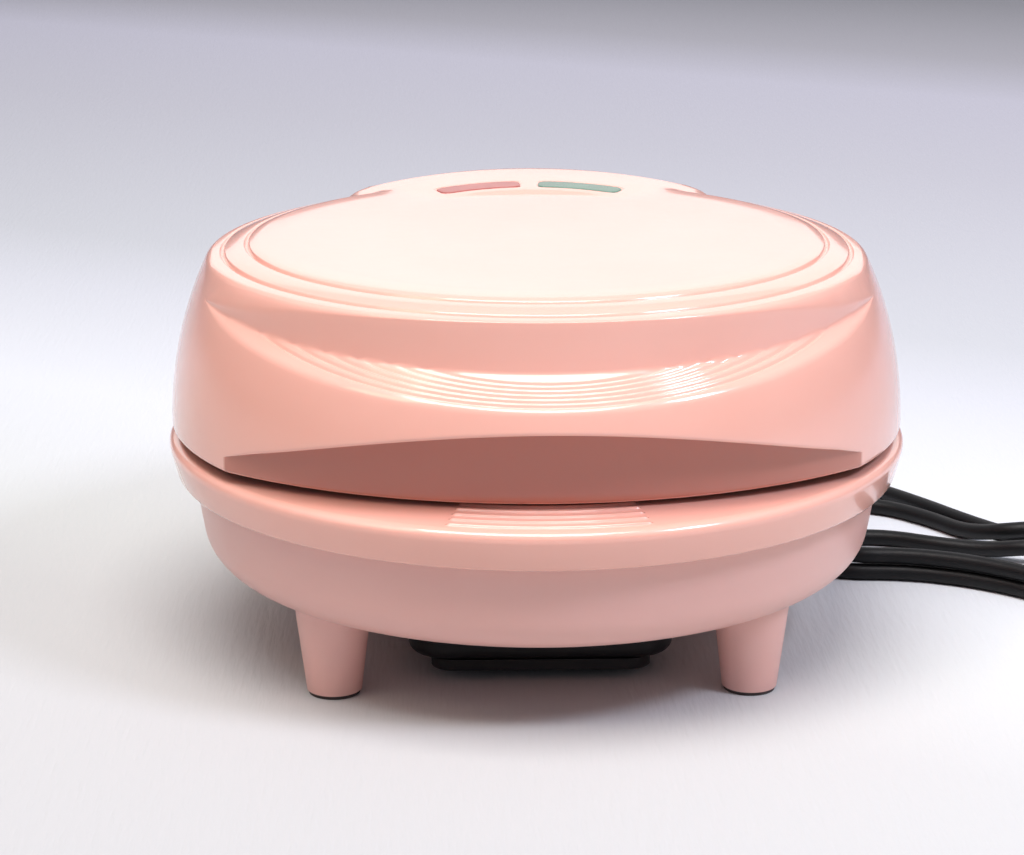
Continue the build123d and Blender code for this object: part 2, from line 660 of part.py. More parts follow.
TERMINAL = (24.0, 67.0)
TERMINAL_SIZE = (30.0, 12.0, 6.0)


def supply_leads():
    """Three conductors, from the sleeve down and under the reflector to the terminal block."""
    start_y = SLEEVE_Y - SLEEVE_NECK
    end_y = TERMINAL[1] + TERMINAL_SIZE[1] / 2
    leads = []
    for k in (-1, 0, 1):
        begin = (SLEEVE_X + 3 * k, start_y, SLEEVE_Z)
        turn = (SLEEVE_X + 3 * k - 1, start_y - 4, PAN_FLOOR_Z + 5)
        end = (TERMINAL[0] + 9 * k, end_y, PAN_FLOOR_Z + 3)
        route = Spline(begin, turn, end, tangents=((0, -1, 0), (0, -1, 0)))
        leads.append(sweep(Plane(origin=begin, z_dir=route % 0) * Circle(1.1), route))
    return Compound([solid for lead in leads for solid in lead.solids()])


def terminal_block():
    """Block that joins the cord to the inner leads."""
    block = Pos(*TERMINAL, PAN_FLOOR_Z + TERMINAL_SIZE[2] / 2) * Box(*TERMINAL_SIZE)
    for k in range(3):
        x = TERMINAL[0] + 9 * (k - 1)
        block = block - rod(2.0, PAN_FLOOR_Z + 4.4, PAN_FLOOR_Z + TERMINAL_SIZE[2], x, TERMINAL[1])
    return block


def thermostat():
    """Snap-disc thermostat against the reflector, with its two blades."""
    body = rod(8.0, LOWER_SHEET_Z - 5.5, LOWER_SHEET_Z, -30, 20)
    for side in (-1, 1):
        body = body + Pos(-30 + 4 * side, 28, LOWER_SHEET_Z - 4.5) * Box(4, 10, 0.8)
    return body


def thermal_fuse():
    """One-shot fuse in its sleeve, held to the reflector by a strap."""
    sleeve = Pos(28, 24, LOWER_SHEET_Z - 2.2) * Rot(0, 90, 0) * extrude(Circle(2.2), 9, both=True)
    strap = Pos(28, 24, LOWER_SHEET_Z - 2.6) * Box(5, 12, 5.2)
    return sleeve + strap


def cord_lead():
    """Free stretch of the cord, from the sleeve to the coil."""
    points = [(SLEEVE_X, SLEEVE_Y + SLEEVE_L, SLEEVE_Z), *LEAD_POINTS, (*COIL_START, CORD_R)]
    runs = [Vector(*b) - Vector(*a) for a, b in zip(points, points[1:])]
    radii = []
    for first, second in zip(runs, runs[1:]):
        half = math.radians(first.get_angle(second) / 2)
        radii.append(0.45 * min(first.length, second.length) / math.tan(half))
    print("lead radii", [round(r, 1) for r in radii])
    route = FilletPolyline(*points, radius=radii)
    section = Plane(origin=points[0], z_dir=(0, 1, 0)) * Circle(CORD_R)
    tube = sweep(section, route)
    print("lead volume share", tube.volume / (math.pi * CORD_R ** 2 * route.length))
    return tube


def biarc(start, heading, end, arrival):
    """Two tangent arcs from one place and heading to another."""
    chord = end - start
    both = heading + arrival
    bend = 2 * (1 - heading.dot(arrival))
    along = chord.dot(both)
    if bend < 1e-9:
        reach = chord.dot(chord) / (4 * chord.dot(arrival))
    else:
        reach = (math.sqrt(along ** 2 + bend * chord.dot(chord)) - along) / bend
    middle = (start + end + (heading - arrival) * reach) * 0.5
    first = TangentArc(start, middle, tangent=heading)
    return [first, TangentArc(middle, end, tangent=first % 1)]


def coil_route():
    """Route of the coil: loops stacked in front, each one's far end inside the last one's."""
    here = Vector(*COIL_START, CORD_R)
    heading = here - Vector(*LEAD_POINTS[-1])
    heading = Vector(heading.X, heading.Y, 0).normalized()
    stops = []
    for loop in range(COIL_LOOPS):
        end = [place + loop * step for place, step in zip(COIL_END, COIL_END_STEP)]
        back = [place + loop * step for place, step in zip(COIL_BACK, COIL_BACK_STEP)]
        raised = [COIL_WAIST[loop], *COIL_LOBE, (*end, 90.0)]
        stops += [(*stop, loop) for stop in raised]
        stops += [(*back, 0.0, 0), (*COIL_CLOSE[loop], 0)]
    edges = [Line(here, here + heading * COIL_STRAIGHT)]
    here += heading * COIL_STRAIGHT
    for x, y, degrees, level in stops:
        place = Vector(x, y, CORD_R + level * COIL_LAYER)
        arrival = Vector(*polar(1, degrees), 0)
        edges += biarc(here, heading, place, arrival)
        here, heading = place, arrival
    plug = Vector(PLUG_X, PLUG_Y, PLUG_H / 2)
    before = plug - Vector(COIL_STRAIGHT, 0, 0)
    edges += biarc(here, heading, before, Vector(1, 0, 0))
    edges.append(Line(before, plug))
    return Wire(edges)


def power_cord_coil():
    """Coil of the cord, one unbroken tube."""
    route = coil_route()
    heading = route % 0
    section = Plane(origin=route @ 0, z_dir=heading) * Circle(CORD_R)
    tube = sweep(section, route)
    print("coil length", round(route.length, 1), "least radius", least_radius(route))
    print("coil volume share", tube.volume / (math.pi * CORD_R ** 2 * route.length))
    print("coil least gap", least_gap(route))
    return tube


def least_radius(route):
    """Smallest radius among the route's arcs."""
    arcs = [e for e in route.edges() if e.geom_type == GeomType.CIRCLE]
    return round(min(e.radius for e in arcs), 1)


def least_gap(route):
    """Least clear distance between stretches of the cord that pass each other."""
    step = 4.0
    count = int(route.length / step)
    points = [route @ (k / count) for k in range(count + 1)]
    apart = int(6 * CORD_R / step) + 2
    gaps = []
    for k, here in enumerate(points):
        gaps += [(here - there).length for there in points[k + apart:]]
    return round(min(gaps) - 2 * CORD_R, 2)


def plug_body():
    """Flat two-pin plug that tapers towards the cord."""
    back = Plane(origin=(PLUG_X, PLUG_Y, PLUG_H / 2), x_dir=(0, 1, 0), z_dir=(1, 0, 0))
    waist = back * RectangleRounded(PLUG_W * 0.55, PLUG_H * 0.72, PLUG_H * 0.3)
    wide = back.offset(PLUG_L * 0.45) * RectangleRounded(PLUG_W, PLUG_H, PLUG_H * 0.45)
    nose = back.offset(PLUG_L) * RectangleRounded(PLUG_W * 0.96, PLUG_H * 0.95, PLUG_H * 0.45)
    return loft([waist, wide, nose], ruled=True)


def plug_pins():
    """Two round pins."""
    face = Pos(PLUG_X + PLUG_L, PLUG_Y, PLUG_H / 2) * Rot(0, 90, 0)
    pins = []
    for side in (-1, 1):
        pin = face * Pos(0, side * PLUG_PIN_GAP / 2, 0) * extrude(Circle(PLUG_PIN_R), PLUG_PIN_L)
        pins.append(pin.solid())
    return Compound(pins)


def hinge_pin():
    """Pin through both ears and the lid's barrel."""
    half = ARM_HALF + EAR_GAP + EAR_T
    return Pos(0, HINGE_Y, HINGE_Z) * Rot(0, 90, 0) * extrude(Circle(PIN_R), half, both=True)


def nodes():
    """Every node by name, round the body's own axis."""
    plate_places = [polar(BOSS_RING_R, deg) for deg in PLATE_POSTS]
    pan_places = [polar(PAN_POST_R, deg) for deg in PAN_POSTS]
    ring_places = [polar(LID_POST_R, deg) for deg in LID_POSTS]
    winder_places = [(0.0, -WINDER_SCREW_Y), (0.0, WINDER_SCREW_Y)]
    shelf_under = SHELF_Z - SHELF_T - SEAT_GAP
    lip_over = LIP_Z + SHELF_T + SEAT_GAP
    made = {
        "lid_shell": lid_shell(),
        "lid_ring": lid_ring(),
        "lid_ring_screws": screws(ring_places, RING_Z, 1, 11.0),
        "upper_plate": upper_plate(),
        "upper_heater": heater(UPPER_HEATER_Z, 11.0),
        "upper_reflector": reflector(UPPER_SHEET_Z + SHEET_T, lip_over - UPPER_SHEET_Z - SHEET_T),
        "upper_plate_screws": screws(plate_places, UPPER_SHEET_Z + SHEET_T + SCREW_HEAD_H, -1, 9.0),
        "red_lens": lens(-1),
        "green_lens": lens(1),
        "red_lamp": lamp(-1),
        "green_lamp": lamp(1),
        "lamp_holder": lamp_holder(),
        "base_collar": base_collar(),
        "base_pan": base_pan(),
        "pan_screws": screws(pan_places, PAN_POST_Z - 3 - SCREW_HEAD_H, 1, 14.0),
        "lower_plate": lower_plate(),
        "lower_heater": heater(LOWER_HEATER_Z, -8.0),
        "lower_reflector": reflector(LOWER_SHEET_Z - SHEET_T, shelf_under - LOWER_SHEET_Z + SHEET_T),
        "lower_plate_screws": screws(plate_places, LOWER_SHEET_Z - SHEET_T - SCREW_HEAD_H, 1, 12.0),
        "thermostat": Pos(0, 0, -SHEET_T) * thermostat(),
        "thermal_fuse": Pos(0, 0, -SHEET_T) * thermal_fuse(),
        "terminal_block": terminal_block(),
        "supply_leads": supply_leads(),
        "cord_winder": cord_winder(),
        "winder_screws": screws(winder_places, WINDER_SCREW_Z, 1, 24.0),
        "hinge_pin": hinge_pin(),
        "cord_sleeve": cord_sleeve(),
    }
    for front in (-1, 1):
        for side in (-1, 1):
            place = ("front" if front < 0 else "rear") + ("_left" if side < 0 else "_right")
            x, y = side * FOOT_X, front * FOOT_Y
            made["foot_" + place] = foot(x, y)
            made["foot_pad_" + place] = rod(PAD_R, 0, PAD_H, x, y)
    return made


def cord_nodes():
    """The free cord and what is on it."""
    return {
        "power_cord_lead": cord_lead(),
        "power_cord_coil": power_cord_coil(),
        "plug_body": plug_body(),
        "plug_pins": plug_pins(),
    }


def main():
    """Write each node, moved so that the frame's origin is under the object's middle."""
    os.makedirs("parts", exist_ok=True)
    made = nodes()
    box = Compound(children=[shape for name, shape in made.items() if name != "cord_sleeve"]).bounding_box()
    shift = -(box.min.Y + box.max.Y) / 2
    print("frame shift", round(shift, 4), "box", box)
    print("hinge", 0, round(HINGE_Y + shift, 4), HINGE_Z)
    made.update(cord_nodes())
    for name, shape in made.items():
        solids = shape.solids()
        print(name, "solids", len(solids), "volume", round(sum(s.volume for s in solids)))
        whole = solids[0] if len(solids) == 1 else Compound(solids)
        export_step(Pos(0, shift, 0) * whole, "parts/" + name + ".step")


if __name__ == "__main__":
    main()
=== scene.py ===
"""Cupcake maker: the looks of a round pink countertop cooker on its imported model.

Metres, in the frame of the model: +Z up, the front towards -Y, the floor at z = 0. The body's own
axis stands at y = AXIS_Y, and a piece that turns round the body is worked out about that axis.
"""
import json
import math
import bpy
import numpy as np
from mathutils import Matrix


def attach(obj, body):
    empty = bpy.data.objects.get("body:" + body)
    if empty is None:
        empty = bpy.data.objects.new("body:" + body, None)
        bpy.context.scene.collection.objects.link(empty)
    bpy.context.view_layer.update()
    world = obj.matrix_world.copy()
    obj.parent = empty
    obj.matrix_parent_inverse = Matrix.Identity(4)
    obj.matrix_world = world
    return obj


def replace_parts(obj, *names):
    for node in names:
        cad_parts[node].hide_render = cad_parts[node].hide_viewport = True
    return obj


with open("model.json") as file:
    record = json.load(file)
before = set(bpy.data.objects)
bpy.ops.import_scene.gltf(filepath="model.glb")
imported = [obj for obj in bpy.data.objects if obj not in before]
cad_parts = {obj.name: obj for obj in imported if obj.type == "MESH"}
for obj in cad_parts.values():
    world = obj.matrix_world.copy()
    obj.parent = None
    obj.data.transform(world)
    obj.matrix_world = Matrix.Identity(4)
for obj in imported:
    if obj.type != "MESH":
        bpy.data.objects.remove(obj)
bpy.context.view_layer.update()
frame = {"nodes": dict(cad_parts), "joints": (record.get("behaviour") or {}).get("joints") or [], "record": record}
NODES = frame["nodes"]

MM = 0.001
HINGE = [joint for joint in frame["joints"] if joint["name"] == "lid_hinge"][0]["pos_m"]
HINGE_FROM_AXIS = 0.124
AXIS_Y = HINGE[1] - HINGE_FROM_AXIS

# Camera and lamps.

PHOTO_WIDTH = 1024
FOCAL_PX = 2700.0
CAMERA_PLACE = (-7.6, -823.6, 299.0)      # mm, from the body's axis, before the turn below
CAMERA_DOWN = 15.84                       # degrees
CAMERA_TURN = 1.5                         # degrees that the view turns to the object's left


def add_camera():
    """Camera at the photograph's angle, turned round the body's axis."""
    turn = math.radians(CAMERA_TURN)
    x, y, z = CAMERA_PLACE
    data = bpy.data.cameras.new("camera")
    data.lens = FOCAL_PX / PHOTO_WIDTH * data.sensor_width
    data.clip_start = 0.05
    camera = bpy.data.objects.new("camera", data)
    place = (x * math.cos(turn) + y * math.sin(turn), y * math.cos(turn) - x * math.sin(turn), z)
    camera.location = (place[0] * MM, place[1] * MM + AXIS_Y, place[2] * MM)
    camera.rotation_euler = (math.radians(90 - CAMERA_DOWN), 0, -turn)
    bpy.context.scene.collection.objects.link(camera)
    bpy.context.scene.camera = camera


def add_light(name, place, aim, size, power, color):
    """Soft rectangular light at place, pointing at aim."""
    data = bpy.data.lights.new(name, "AREA")
    data.shape = "RECTANGLE"
    data.size, data.size_y = size
    data.energy = power
    data.color = color
    light = bpy.data.objects.new(name, data)
    light.location = place
    back = np.array(place) - np.array(aim)
    level = math.hypot(back[0], back[1])
    light.rotation_euler = (math.atan2(level, back[2]), 0, math.atan2(back[0], -back[1]))
    bpy.context.scene.collection.objects.link(light)


add_camera()

# Materials.


def new_material(name):
    """Material with its node tree, its principled shader and its object coordinates."""
    material = bpy.data.materials.new(name)
    material.use_nodes = True
    tree = material.node_tree
    shader = tree.nodes["Principled BSDF"]
    coords = tree.nodes.new("ShaderNodeTexCoord").outputs["Object"]
    return material, tree, shader, coords


def noise(tree, coords, scale, detail=3.0, rough=0.5, stretch=(1, 1, 1)):
    """Noise over the object's own coordinates, in waves per metre."""
    mapping = tree.nodes.new("ShaderNodeMapping")
    mapping.inputs["Scale"].default_value = stretch
    tree.links.new(coords, mapping.inputs["Vector"])
    node = tree.nodes.new("ShaderNodeTexNoise")
    node.inputs["Scale"].default_value = scale
    node.inputs["Detail"].default_value = detail
    node.inputs["Roughness"].default_value = rough
    tree.links.new(mapping.outputs["Vector"], node.inputs["Vector"])
    return node.outputs["Fac"]


def ramp(tree, source, low, high, start=0.35, end=0.65):
    """Colours low to high while source goes from start to end."""
    node = tree.nodes.new("ShaderNodeValToRGB")
    node.color_ramp.elements[0].position = start
    node.color_ramp.elements[0].color = (*low, 1)
    node.color_ramp.elements[1].position = end
    node.color_ramp.elements[1].color = (*high, 1)
    tree.links.new(source, node.inputs["Fac"])
    return node.outputs["Color"]


def spread(tree, source, low, high):
    """Source, 0 to 1, carried to low to high."""
    node = tree.nodes.new("ShaderNodeMapRange")
    node.inputs["To Min"].default_value = low
    node.inputs["To Max"].default_value = high
    tree.links.new(source, node.inputs["Value"])
    return node.outputs["Result"]


def mixed(tree, share, color, other):
    """Color carried to a second, fixed color by a share."""
    node = tree.nodes.new("ShaderNodeMix")
    node.data_type = "RGBA"
    first, second = (node.inputs[k] for k in (6, 7))    # its two colour sockets share one name
    tree.links.new(share, node.inputs[0])
    tree.links.new(color, first)
    second.default_value = (*other, 1)
    return node.outputs[2]


def bump(tree, shader, source, depth):
    """Bump of a depth in metres on a shader."""
    node = tree.nodes.new("ShaderNodeBump")
    node.inputs["Distance"].default_value = depth
    tree.links.new(source, node.inputs["Height"])
    tree.links.new(node.outputs["Normal"], shader.inputs["Normal"])


RECESS_SHADE_MARK = "recess"                  # attribute, 1 on the wall of the finger recess, where shade is painted, and 0 elsewhere
# Painted shade: the dark brown laid on the finger recess's wall in place of the pink.
RECESS_SHADE_TONE = (0.50, 0.18, 0.125)


def moulded_gloss(name, low, high, rough, coat):
    """Glossy moulded plastic: faint clouding, uneven gloss, a fine ripple and painted shade on the recess's wall.
    """
    material, tree, shader, coords = new_material(name)
    # painted shade: the recess attribute chooses where the dark brown replaces the pink
    recess = tree.nodes.new("ShaderNodeAttribute")
    recess.attribute_name = RECESS_SHADE_MARK
    cloud = ramp(tree, noise(tree, coords, 14, 2), low, high)
    tree.links.new(mixed(tree, recess.outputs["Fac"], cloud, RECESS_SHADE_TONE), shader.inputs["Base Color"])
    grain = noise(tree, coords, 90, 4)
    tree.links.new(spread(tree, grain, rough * 0.75, rough * 1.3), shader.inputs["Roughness"])
    bump(tree, shader, noise(tree, coords, 260, 2), 0.00002)
    shader.inputs["IOR"].default_value = 1.5
    shader.inputs["Coat Weight"].default_value = coat
    shader.inputs["Coat Roughness"].default_value = 0.06
    shader.inputs["Subsurface Weight"].default_value = 0.08
    shader.inputs["Subsurface Radius"].default_value = (0.004, 0.0016, 0.0012)
    shader.inputs["Subsurface Scale"].default_value = 1.0
    return material


def grained_plastic(name, low, high, rough, grain_scale=900):
    """Satin plastic or rubber with a fine moulded grain."""
    material, tree, shader, coords = new_material(name)
    tree.links.new(ramp(tree, noise(tree, coords, 35, 3), low, high), shader.inputs["Base Color"])
    grain = noise(tree, coords, grain_scale, 3)
    tree.links.new(spread(tree, grain, rough * 0.85, rough * 1.15), shader.inputs["Roughness"])
    shader.inputs["Specular IOR Level"].default_value = 0.25
    bump(tree, shader, grain, 0.00006)
    return material


def metal(name, low, high, rough, stretch=(1, 1, 1)):
    """Bare metal with a drawn or rolled streak."""
    material, tree, shader, coords = new_material(name)
    streak = noise(tree, coords, 400, 4, 0.6, stretch)
    tree.links.new(ramp(tree, streak, low, high), shader.inputs["Base Color"])
    tree.links.new(spread(tree, streak, rough * 0.7, rough * 1.4), shader.inputs["Roughness"])
    shader.inputs["Metallic"].default_value = 1.0
    bump(tree, shader, streak, 0.00001)
    return material


def coated_casting(name, low, high, rough):
    """Non-stick coating: dark, speckled and slightly pebbled."""
    material, tree, shader, coords = new_material(name)
    speck = tree.nodes.new("ShaderNodeTexVoronoi")
    speck.inputs["Scale"].default_value = 1400
    tree.links.new(coords, speck.inputs["Vector"])
    color = ramp(tree, speck.outputs["Distance"], high, low, 0.05, 0.2)
    tree.links.new(color, shader.inputs["Base Color"])
    grain = noise(tree, coords, 700, 3)
    tree.links.new(spread(tree, grain, rough * 0.8, rough * 1.2), shader.inputs["Roughness"])
    bump(tree, shader, grain, 0.00003)
    return material


def tinted_window(name, low, high):
    """Tinted lens: a little of its light goes through."""
    material, tree, shader, coords = new_material(name)
    tree.links.new(ramp(tree, noise(tree, coords, 120, 2), low, high), shader.inputs["Base Color"])
    rough = spread(tree, noise(tree, coords, 500, 3), 0.1, 0.18)
    tree.links.new(rough, shader.inputs["Roughness"])
    shader.inputs["Transmission Weight"].default_value = 0.15
    return material


def clear_glass(name, low, high):
    """Blown glass, faintly uneven in tint and thickness."""
    material, tree, shader, coords = new_material(name)
    wave = noise(tree, coords, 300, 2)
    tree.links.new(ramp(tree, wave, low, high), shader.inputs["Base Color"])
    tree.links.new(spread(tree, wave, 0.04, 0.12), shader.inputs["Roughness"])
    shader.inputs["Transmission Weight"].default_value = 0.9
    return material


PINK = moulded_gloss("pink_gloss", (0.85, 0.44, 0.355), (0.875, 0.465, 0.38), 0.16, 0.6)
PINK_DULL = moulded_gloss("pink_satin", (0.77, 0.43, 0.375), (0.795, 0.455, 0.40), 0.34, 0.15)
BLACK = grained_plastic("black_plastic", (0.009, 0.009, 0.0095), (0.014, 0.014, 0.0145), 0.5)
INNER = grained_plastic("inner_plastic", (0.03, 0.03, 0.03), (0.045, 0.044, 0.043), 0.6)
PAD = grained_plastic("pad_rubber", (0.05, 0.04, 0.038), (0.075, 0.062, 0.058), 0.8, 1500)
JACKET = grained_plastic("cord_rubber", (0.004, 0.004, 0.0045), (0.007, 0.007, 0.0075), 0.45, 1200)
SLEEVING = grained_plastic("lead_sleeving", (0.62, 0.6, 0.54), (0.72, 0.7, 0.64), 0.7)
COATING = coated_casting("plate_coating", (0.022, 0.022, 0.024), (0.05, 0.05, 0.054), 0.45)
SHEATH = metal("heater_sheath", (0.2, 0.18, 0.16), (0.32, 0.3, 0.27), 0.5)
SHEET = metal("reflector_sheet", (0.68, 0.68, 0.7), (0.8, 0.8, 0.81), 0.3, (1, 12, 1))
SCREW = metal("screw_steel", (0.5, 0.5, 0.5), (0.62, 0.62, 0.61), 0.35)
PIN_STEEL = metal("pin_steel", (0.58, 0.58, 0.59), (0.68, 0.68, 0.69), 0.25, (1, 14, 14))
BRASS = metal("plug_brass", (0.66, 0.6, 0.5), (0.76, 0.7, 0.58), 0.25)
RED = tinted_window("red_window", (0.42, 0.10, 0.085), (0.48, 0.125, 0.105))
GREEN = tinted_window("green_window", (0.105, 0.205, 0.15), (0.13, 0.245, 0.18))
BULB = clear_glass("lamp_glass", (0.86, 0.80, 0.74), (0.92, 0.87, 0.82))

FINISHES = {
    "pink_gloss": PINK,
    "pink_satin": PINK_DULL,
    "inner_plastic": INNER,
    "plate_coating": COATING,
    "heater_sheath": SHEATH,
    "reflector_sheet": SHEET,
    "screw_steel": SCREW,
    "pin_steel": PIN_STEEL,
    "red_window": RED,
    "green_window": GREEN,
    "lamp_glass": BULB,
    "black_plastic": BLACK,
    "pad_rubber": PAD,
    "cord_rubber": JACKET,
    "lead_sleeving": SLEEVING,
    "plug_brass": BRASS,
}
SLOT_OF = {part["node"]: part["material_slot"] for part in frame["record"]["subparts"]}

for node, cad_object in NODES.items():
    cad_object.data.materials.clear()
    cad_object.data.materials.append(FINISHES[SLOT_OF[node]])

# Making pieces.


def mesh_piece(name, vertices, faces, body, slot_name):
    """Piece from arrays of points in mm from the body's axis and of faces."""
    mesh = bpy.data.meshes.new(name)
    placed = np.asarray(vertices, float) * MM + np.array([0, AXIS_Y, 0])
    mesh.from_pydata(placed.tolist(), [], faces)
    mesh.update()
    mesh.polygons.foreach_set("use_smooth", [True] * len(mesh.polygons))
    piece = bpy.data.objects.new(name, mesh)
    bpy.context.scene.collection.objects.link(piece)
    return dress(piece, body, slot_name)


def dress(piece, body, slot_name):
    """Material, slot and body of a piece."""
    piece.data.materials.clear()
    piece.data.materials.append(FINISHES[slot_name])
    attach(piece, body)
    return piece


# The lid's sizes, in mm from the body's axis.

LID_R, LID_BASE_Z, LID_WALL = 114.2, 71.0, 2.5
EDGE_R, EDGE_Z = 102.6, 121.9           # where the side turns over the edge
BAND_R, BAND_Z = 100.4, 123.9           # outer end of the sloping band round the disc
DISC_R, TOP_Z, DISC_SOFT = 86.5, 128.0, 0.5
RINGS, RING_HALF, RING_DEPTH = (89.8, 97.3), 0.95, 1.1

WALL_R, WALL_Y = 108.2, 7.5             # upright wall of the grip: a cylinder set back
LEDGE_TILT, LEDGE_SLOPE = math.radians(7.5), math.tan(math.radians(33.0))
LEDGE_R, LEDGE_Z = 109.5, 116.8
GROOVES, GROOVE_R, GROOVE_STEP, GROOVE_REACH, GROOVE_PITCH = 6, 76.0, 4.0, 103.3, 1.15
GROOVE_HALF, GROOVE_DEPTH = 0.34, 0.6
TIP_HEIGHT, TIP_REACH = 0.7, 0.9        # rounded ends of the ribs between the grooves
RELIEF_START = 1 / 12                   # part of the ledge, from its edge, over which the relief begins
FREE_S, FREE_DEGREES = 0.40, 135        # place on the skin of the ledge's rows where there is no ledge
FREE_SPAN_FRONT, FREE_SPAN_GROWTH = 0.02, 0.08

RECESS_R, RECESS_Y = 145.2, 45.4        # wall of the finger recess: a cylinder set back
ARCH_R, ARCH_Z = 243.0, -148.7          # circle of its upper edge, seen from the front
ROOF_LOWEST, LIP_LOWEST, LIP_INSET, LIP_LIFT, LEAST_DEPTH = 3, 2.6, 0.6, 0.6, 0.05

HUMP_FRONT_R, HUMP_HALF, HUMP_BACK_Y, HUMP_BACK_R = 65.0, 62.0, 35.0, 75.0
HUMP_SLOPE, HUMP_FRONT_SLOPE = 2.2, 0.75
HUMP_CORNER, HUMP_SHOULDER, HUMP_FRONT_SHOULDER, HUMP_FOOT = 4.0, 1.2, 1.5, 0.35
FRONT_DROP = 40.0                       # sinks the housing's ball under the front half of the top
CROWN_R, CROWN_Y, CROWN_Z = 550.0, 100.0, 130.5
REAR_SHARE = 0.985                      # share of BAND_R outside which a row follows the housing's wall

WINDOW_R, WINDOW_HALF, WINDOW_ROUND = 73.5, 4.1, 2.6
WINDOW_START, WINDOW_SPAN = 2.3, 22.0   # degrees from the middle plane
POCKET_GAP, POCKET_SIDE, POCKET_DEPTH = 0.45, 0.5, 0.8

HINGE_Y, HINGE_Z, BARREL_R, PIN_R = 124.0, 70.0, 7.0, 2.55

SIDE_R = ((LID_R - EDGE_R) ** 2 + (EDGE_Z - LID_BASE_Z) ** 2) / (2 * (LID_R - EDGE_R))
SIDE_LEAN = math.asin((EDGE_Z - LID_BASE_Z) / SIDE_R)
CHORD_LEAN = math.atan2(EDGE_R - BAND_R, BAND_Z - EDGE_Z)
TURN_LEAN = 2 * CHORD_LEAN - SIDE_LEAN
TURN_R = math.hypot(EDGE_R - BAND_R, BAND_Z - EDGE_Z) / (2 * math.sin(CHORD_LEAN - SIDE_LEAN))
TURN_CENTRE = (EDGE_R - TURN_R * math.cos(SIDE_LEAN), EDGE_Z - TURN_R * math.sin(SIDE_LEAN))


def stacked(r, z):
    """Radii and heights as one array of pairs."""
    return np.stack(np.broadcast_arrays(r, z), -1)


def skin(s):
    """Radius and height on the lid: its side is an arc for s from 0 to 1, its edge another up to 2."""
    low = SIDE_LEAN * np.clip(s, 0, 1)
    high = SIDE_LEAN + (TURN_LEAN - SIDE_LEAN) * np.clip(s - 1, 0, 1)
    side = stacked(LID_R - SIDE_R + SIDE_R * np.cos(low), LID_BASE_Z + SIDE_R * np.sin(low))
    turn = stacked(TURN_CENTRE[0] + TURN_R * np.cos(high), TURN_CENTRE[1] + TURN_R * np.sin(high))
    return np.where((s <= 1)[..., None], side, turn)


def skin_at_radius(r):
    """The s of skin() where the radius is r."""
    low = np.arccos(np.clip((r - LID_R + SIDE_R) / SIDE_R, -1, 1)) / SIDE_LEAN
    lean = np.arccos(np.clip((r - TURN_CENTRE[0]) / TURN_R, -1, 1))
    high = 1 + (lean - SIDE_LEAN) / (TURN_LEAN - SIDE_LEAN)
    return np.where(r >= EDGE_R, low, np.clip(high, 1, 2))


def skin_at_height(z):
    """The s of skin() where the height on the side is z."""
    return np.arcsin(np.clip((z - LID_BASE_Z) / SIDE_R, 0, 1)) / SIDE_LEAN


def soft_max(a, b, width):
    """Greater of two values, rounded over width where they cross."""
    return 0.5 * (a + b + np.sqrt((a - b) ** 2 + width ** 2))


def ledge_height(r, azimuth):
    """Height of the grip ledge: a cone, tilted forwards, met by Newton steps along the vertical."""
    x, y = r * np.sin(azimuth), -r * np.cos(azimuth)
    rise = np.zeros_like(x)
    sin_t, cos_t = math.sin(LEDGE_TILT), math.cos(LEDGE_TILT)
    for _ in range(6):
        along = y * cos_t + rise * sin_t
        far = np.hypot(x, along)
        miss = -y * sin_t + rise * cos_t - LEDGE_SLOPE * (LEDGE_R - far)
        rise = rise - miss / (cos_t + LEDGE_SLOPE * along * sin_t / far)
    return LEDGE_Z + rise


def groove_count(r, azimuth):
    """How many grooves, with fractions, lie between the grip wall's side and a place on the ledge."""
    x, y = r * np.sin(azimuth), -r * np.cos(azimuth) + GROOVE_REACH - GROOVE_R
    step, back = GROOVE_STEP, GROOVE_STEP - GROOVE_PITCH
    a = step ** 2 - back ** 2
    b = 2 * GROOVE_R * step + 2 * y * back
    c = GROOVE_R ** 2 - x ** 2 - y ** 2
    return (-b + np.sqrt(np.maximum(b * b - 4 * a * c, 0))) / (2 * a)


def ledge_relief(r, wall_r, azimuth):
    """Six fine grooves, each an arc of its own circle, and the rounded tips of the ribs at the wall."""
    x, y = r * np.sin(azimuth), -r * np.cos(azimuth)
    cut = np.zeros_like(x)
    for k in range(GROOVES):
        groove_r = GROOVE_R + GROOVE_STEP * k
        away = np.hypot(x, y - groove_r + GROOVE_REACH + GROOVE_PITCH * k) - groove_r
        cut = np.maximum(cut, np.exp(-(away / GROOVE_HALF) ** 2))
    passed = groove_count(wall_r, azimuth)
    share = passed - np.floor(passed)
    tip = np.where((passed > 0) & (passed < GROOVES), share * np.sqrt(1 - share ** 6), 0)
    return TIP_HEIGHT * tip * np.exp(-(r - wall_r) / TIP_REACH) - GROOVE_DEPTH * cut


def crown_height(x, y):
    """Top of the raised housing, part of a ball."""
    return CROWN_Z - CROWN_R + np.sqrt(CROWN_R ** 2 - x ** 2 - (y - CROWN_Y) ** 2)


def window_distance(x, y):
    """Distance outside the rounded outline of the nearer lamp window, less than 0 inside it."""
    r, back = np.hypot(x, y), np.arctan2(np.abs(x), y)
    middle = math.radians(WINDOW_START + WINDOW_SPAN / 2)
    half = math.radians(WINDOW_SPAN / 2) * WINDOW_R
    along = np.abs(back - middle) * WINDOW_R - half + WINDOW_ROUND
    across = np.abs(r - WINDOW_R) - WINDOW_HALF + WINDOW_ROUND
    outside = np.hypot(np.maximum(along, 0), np.maximum(across, 0))
    return outside + np.minimum(np.maximum(along, across), 0) - WINDOW_ROUND


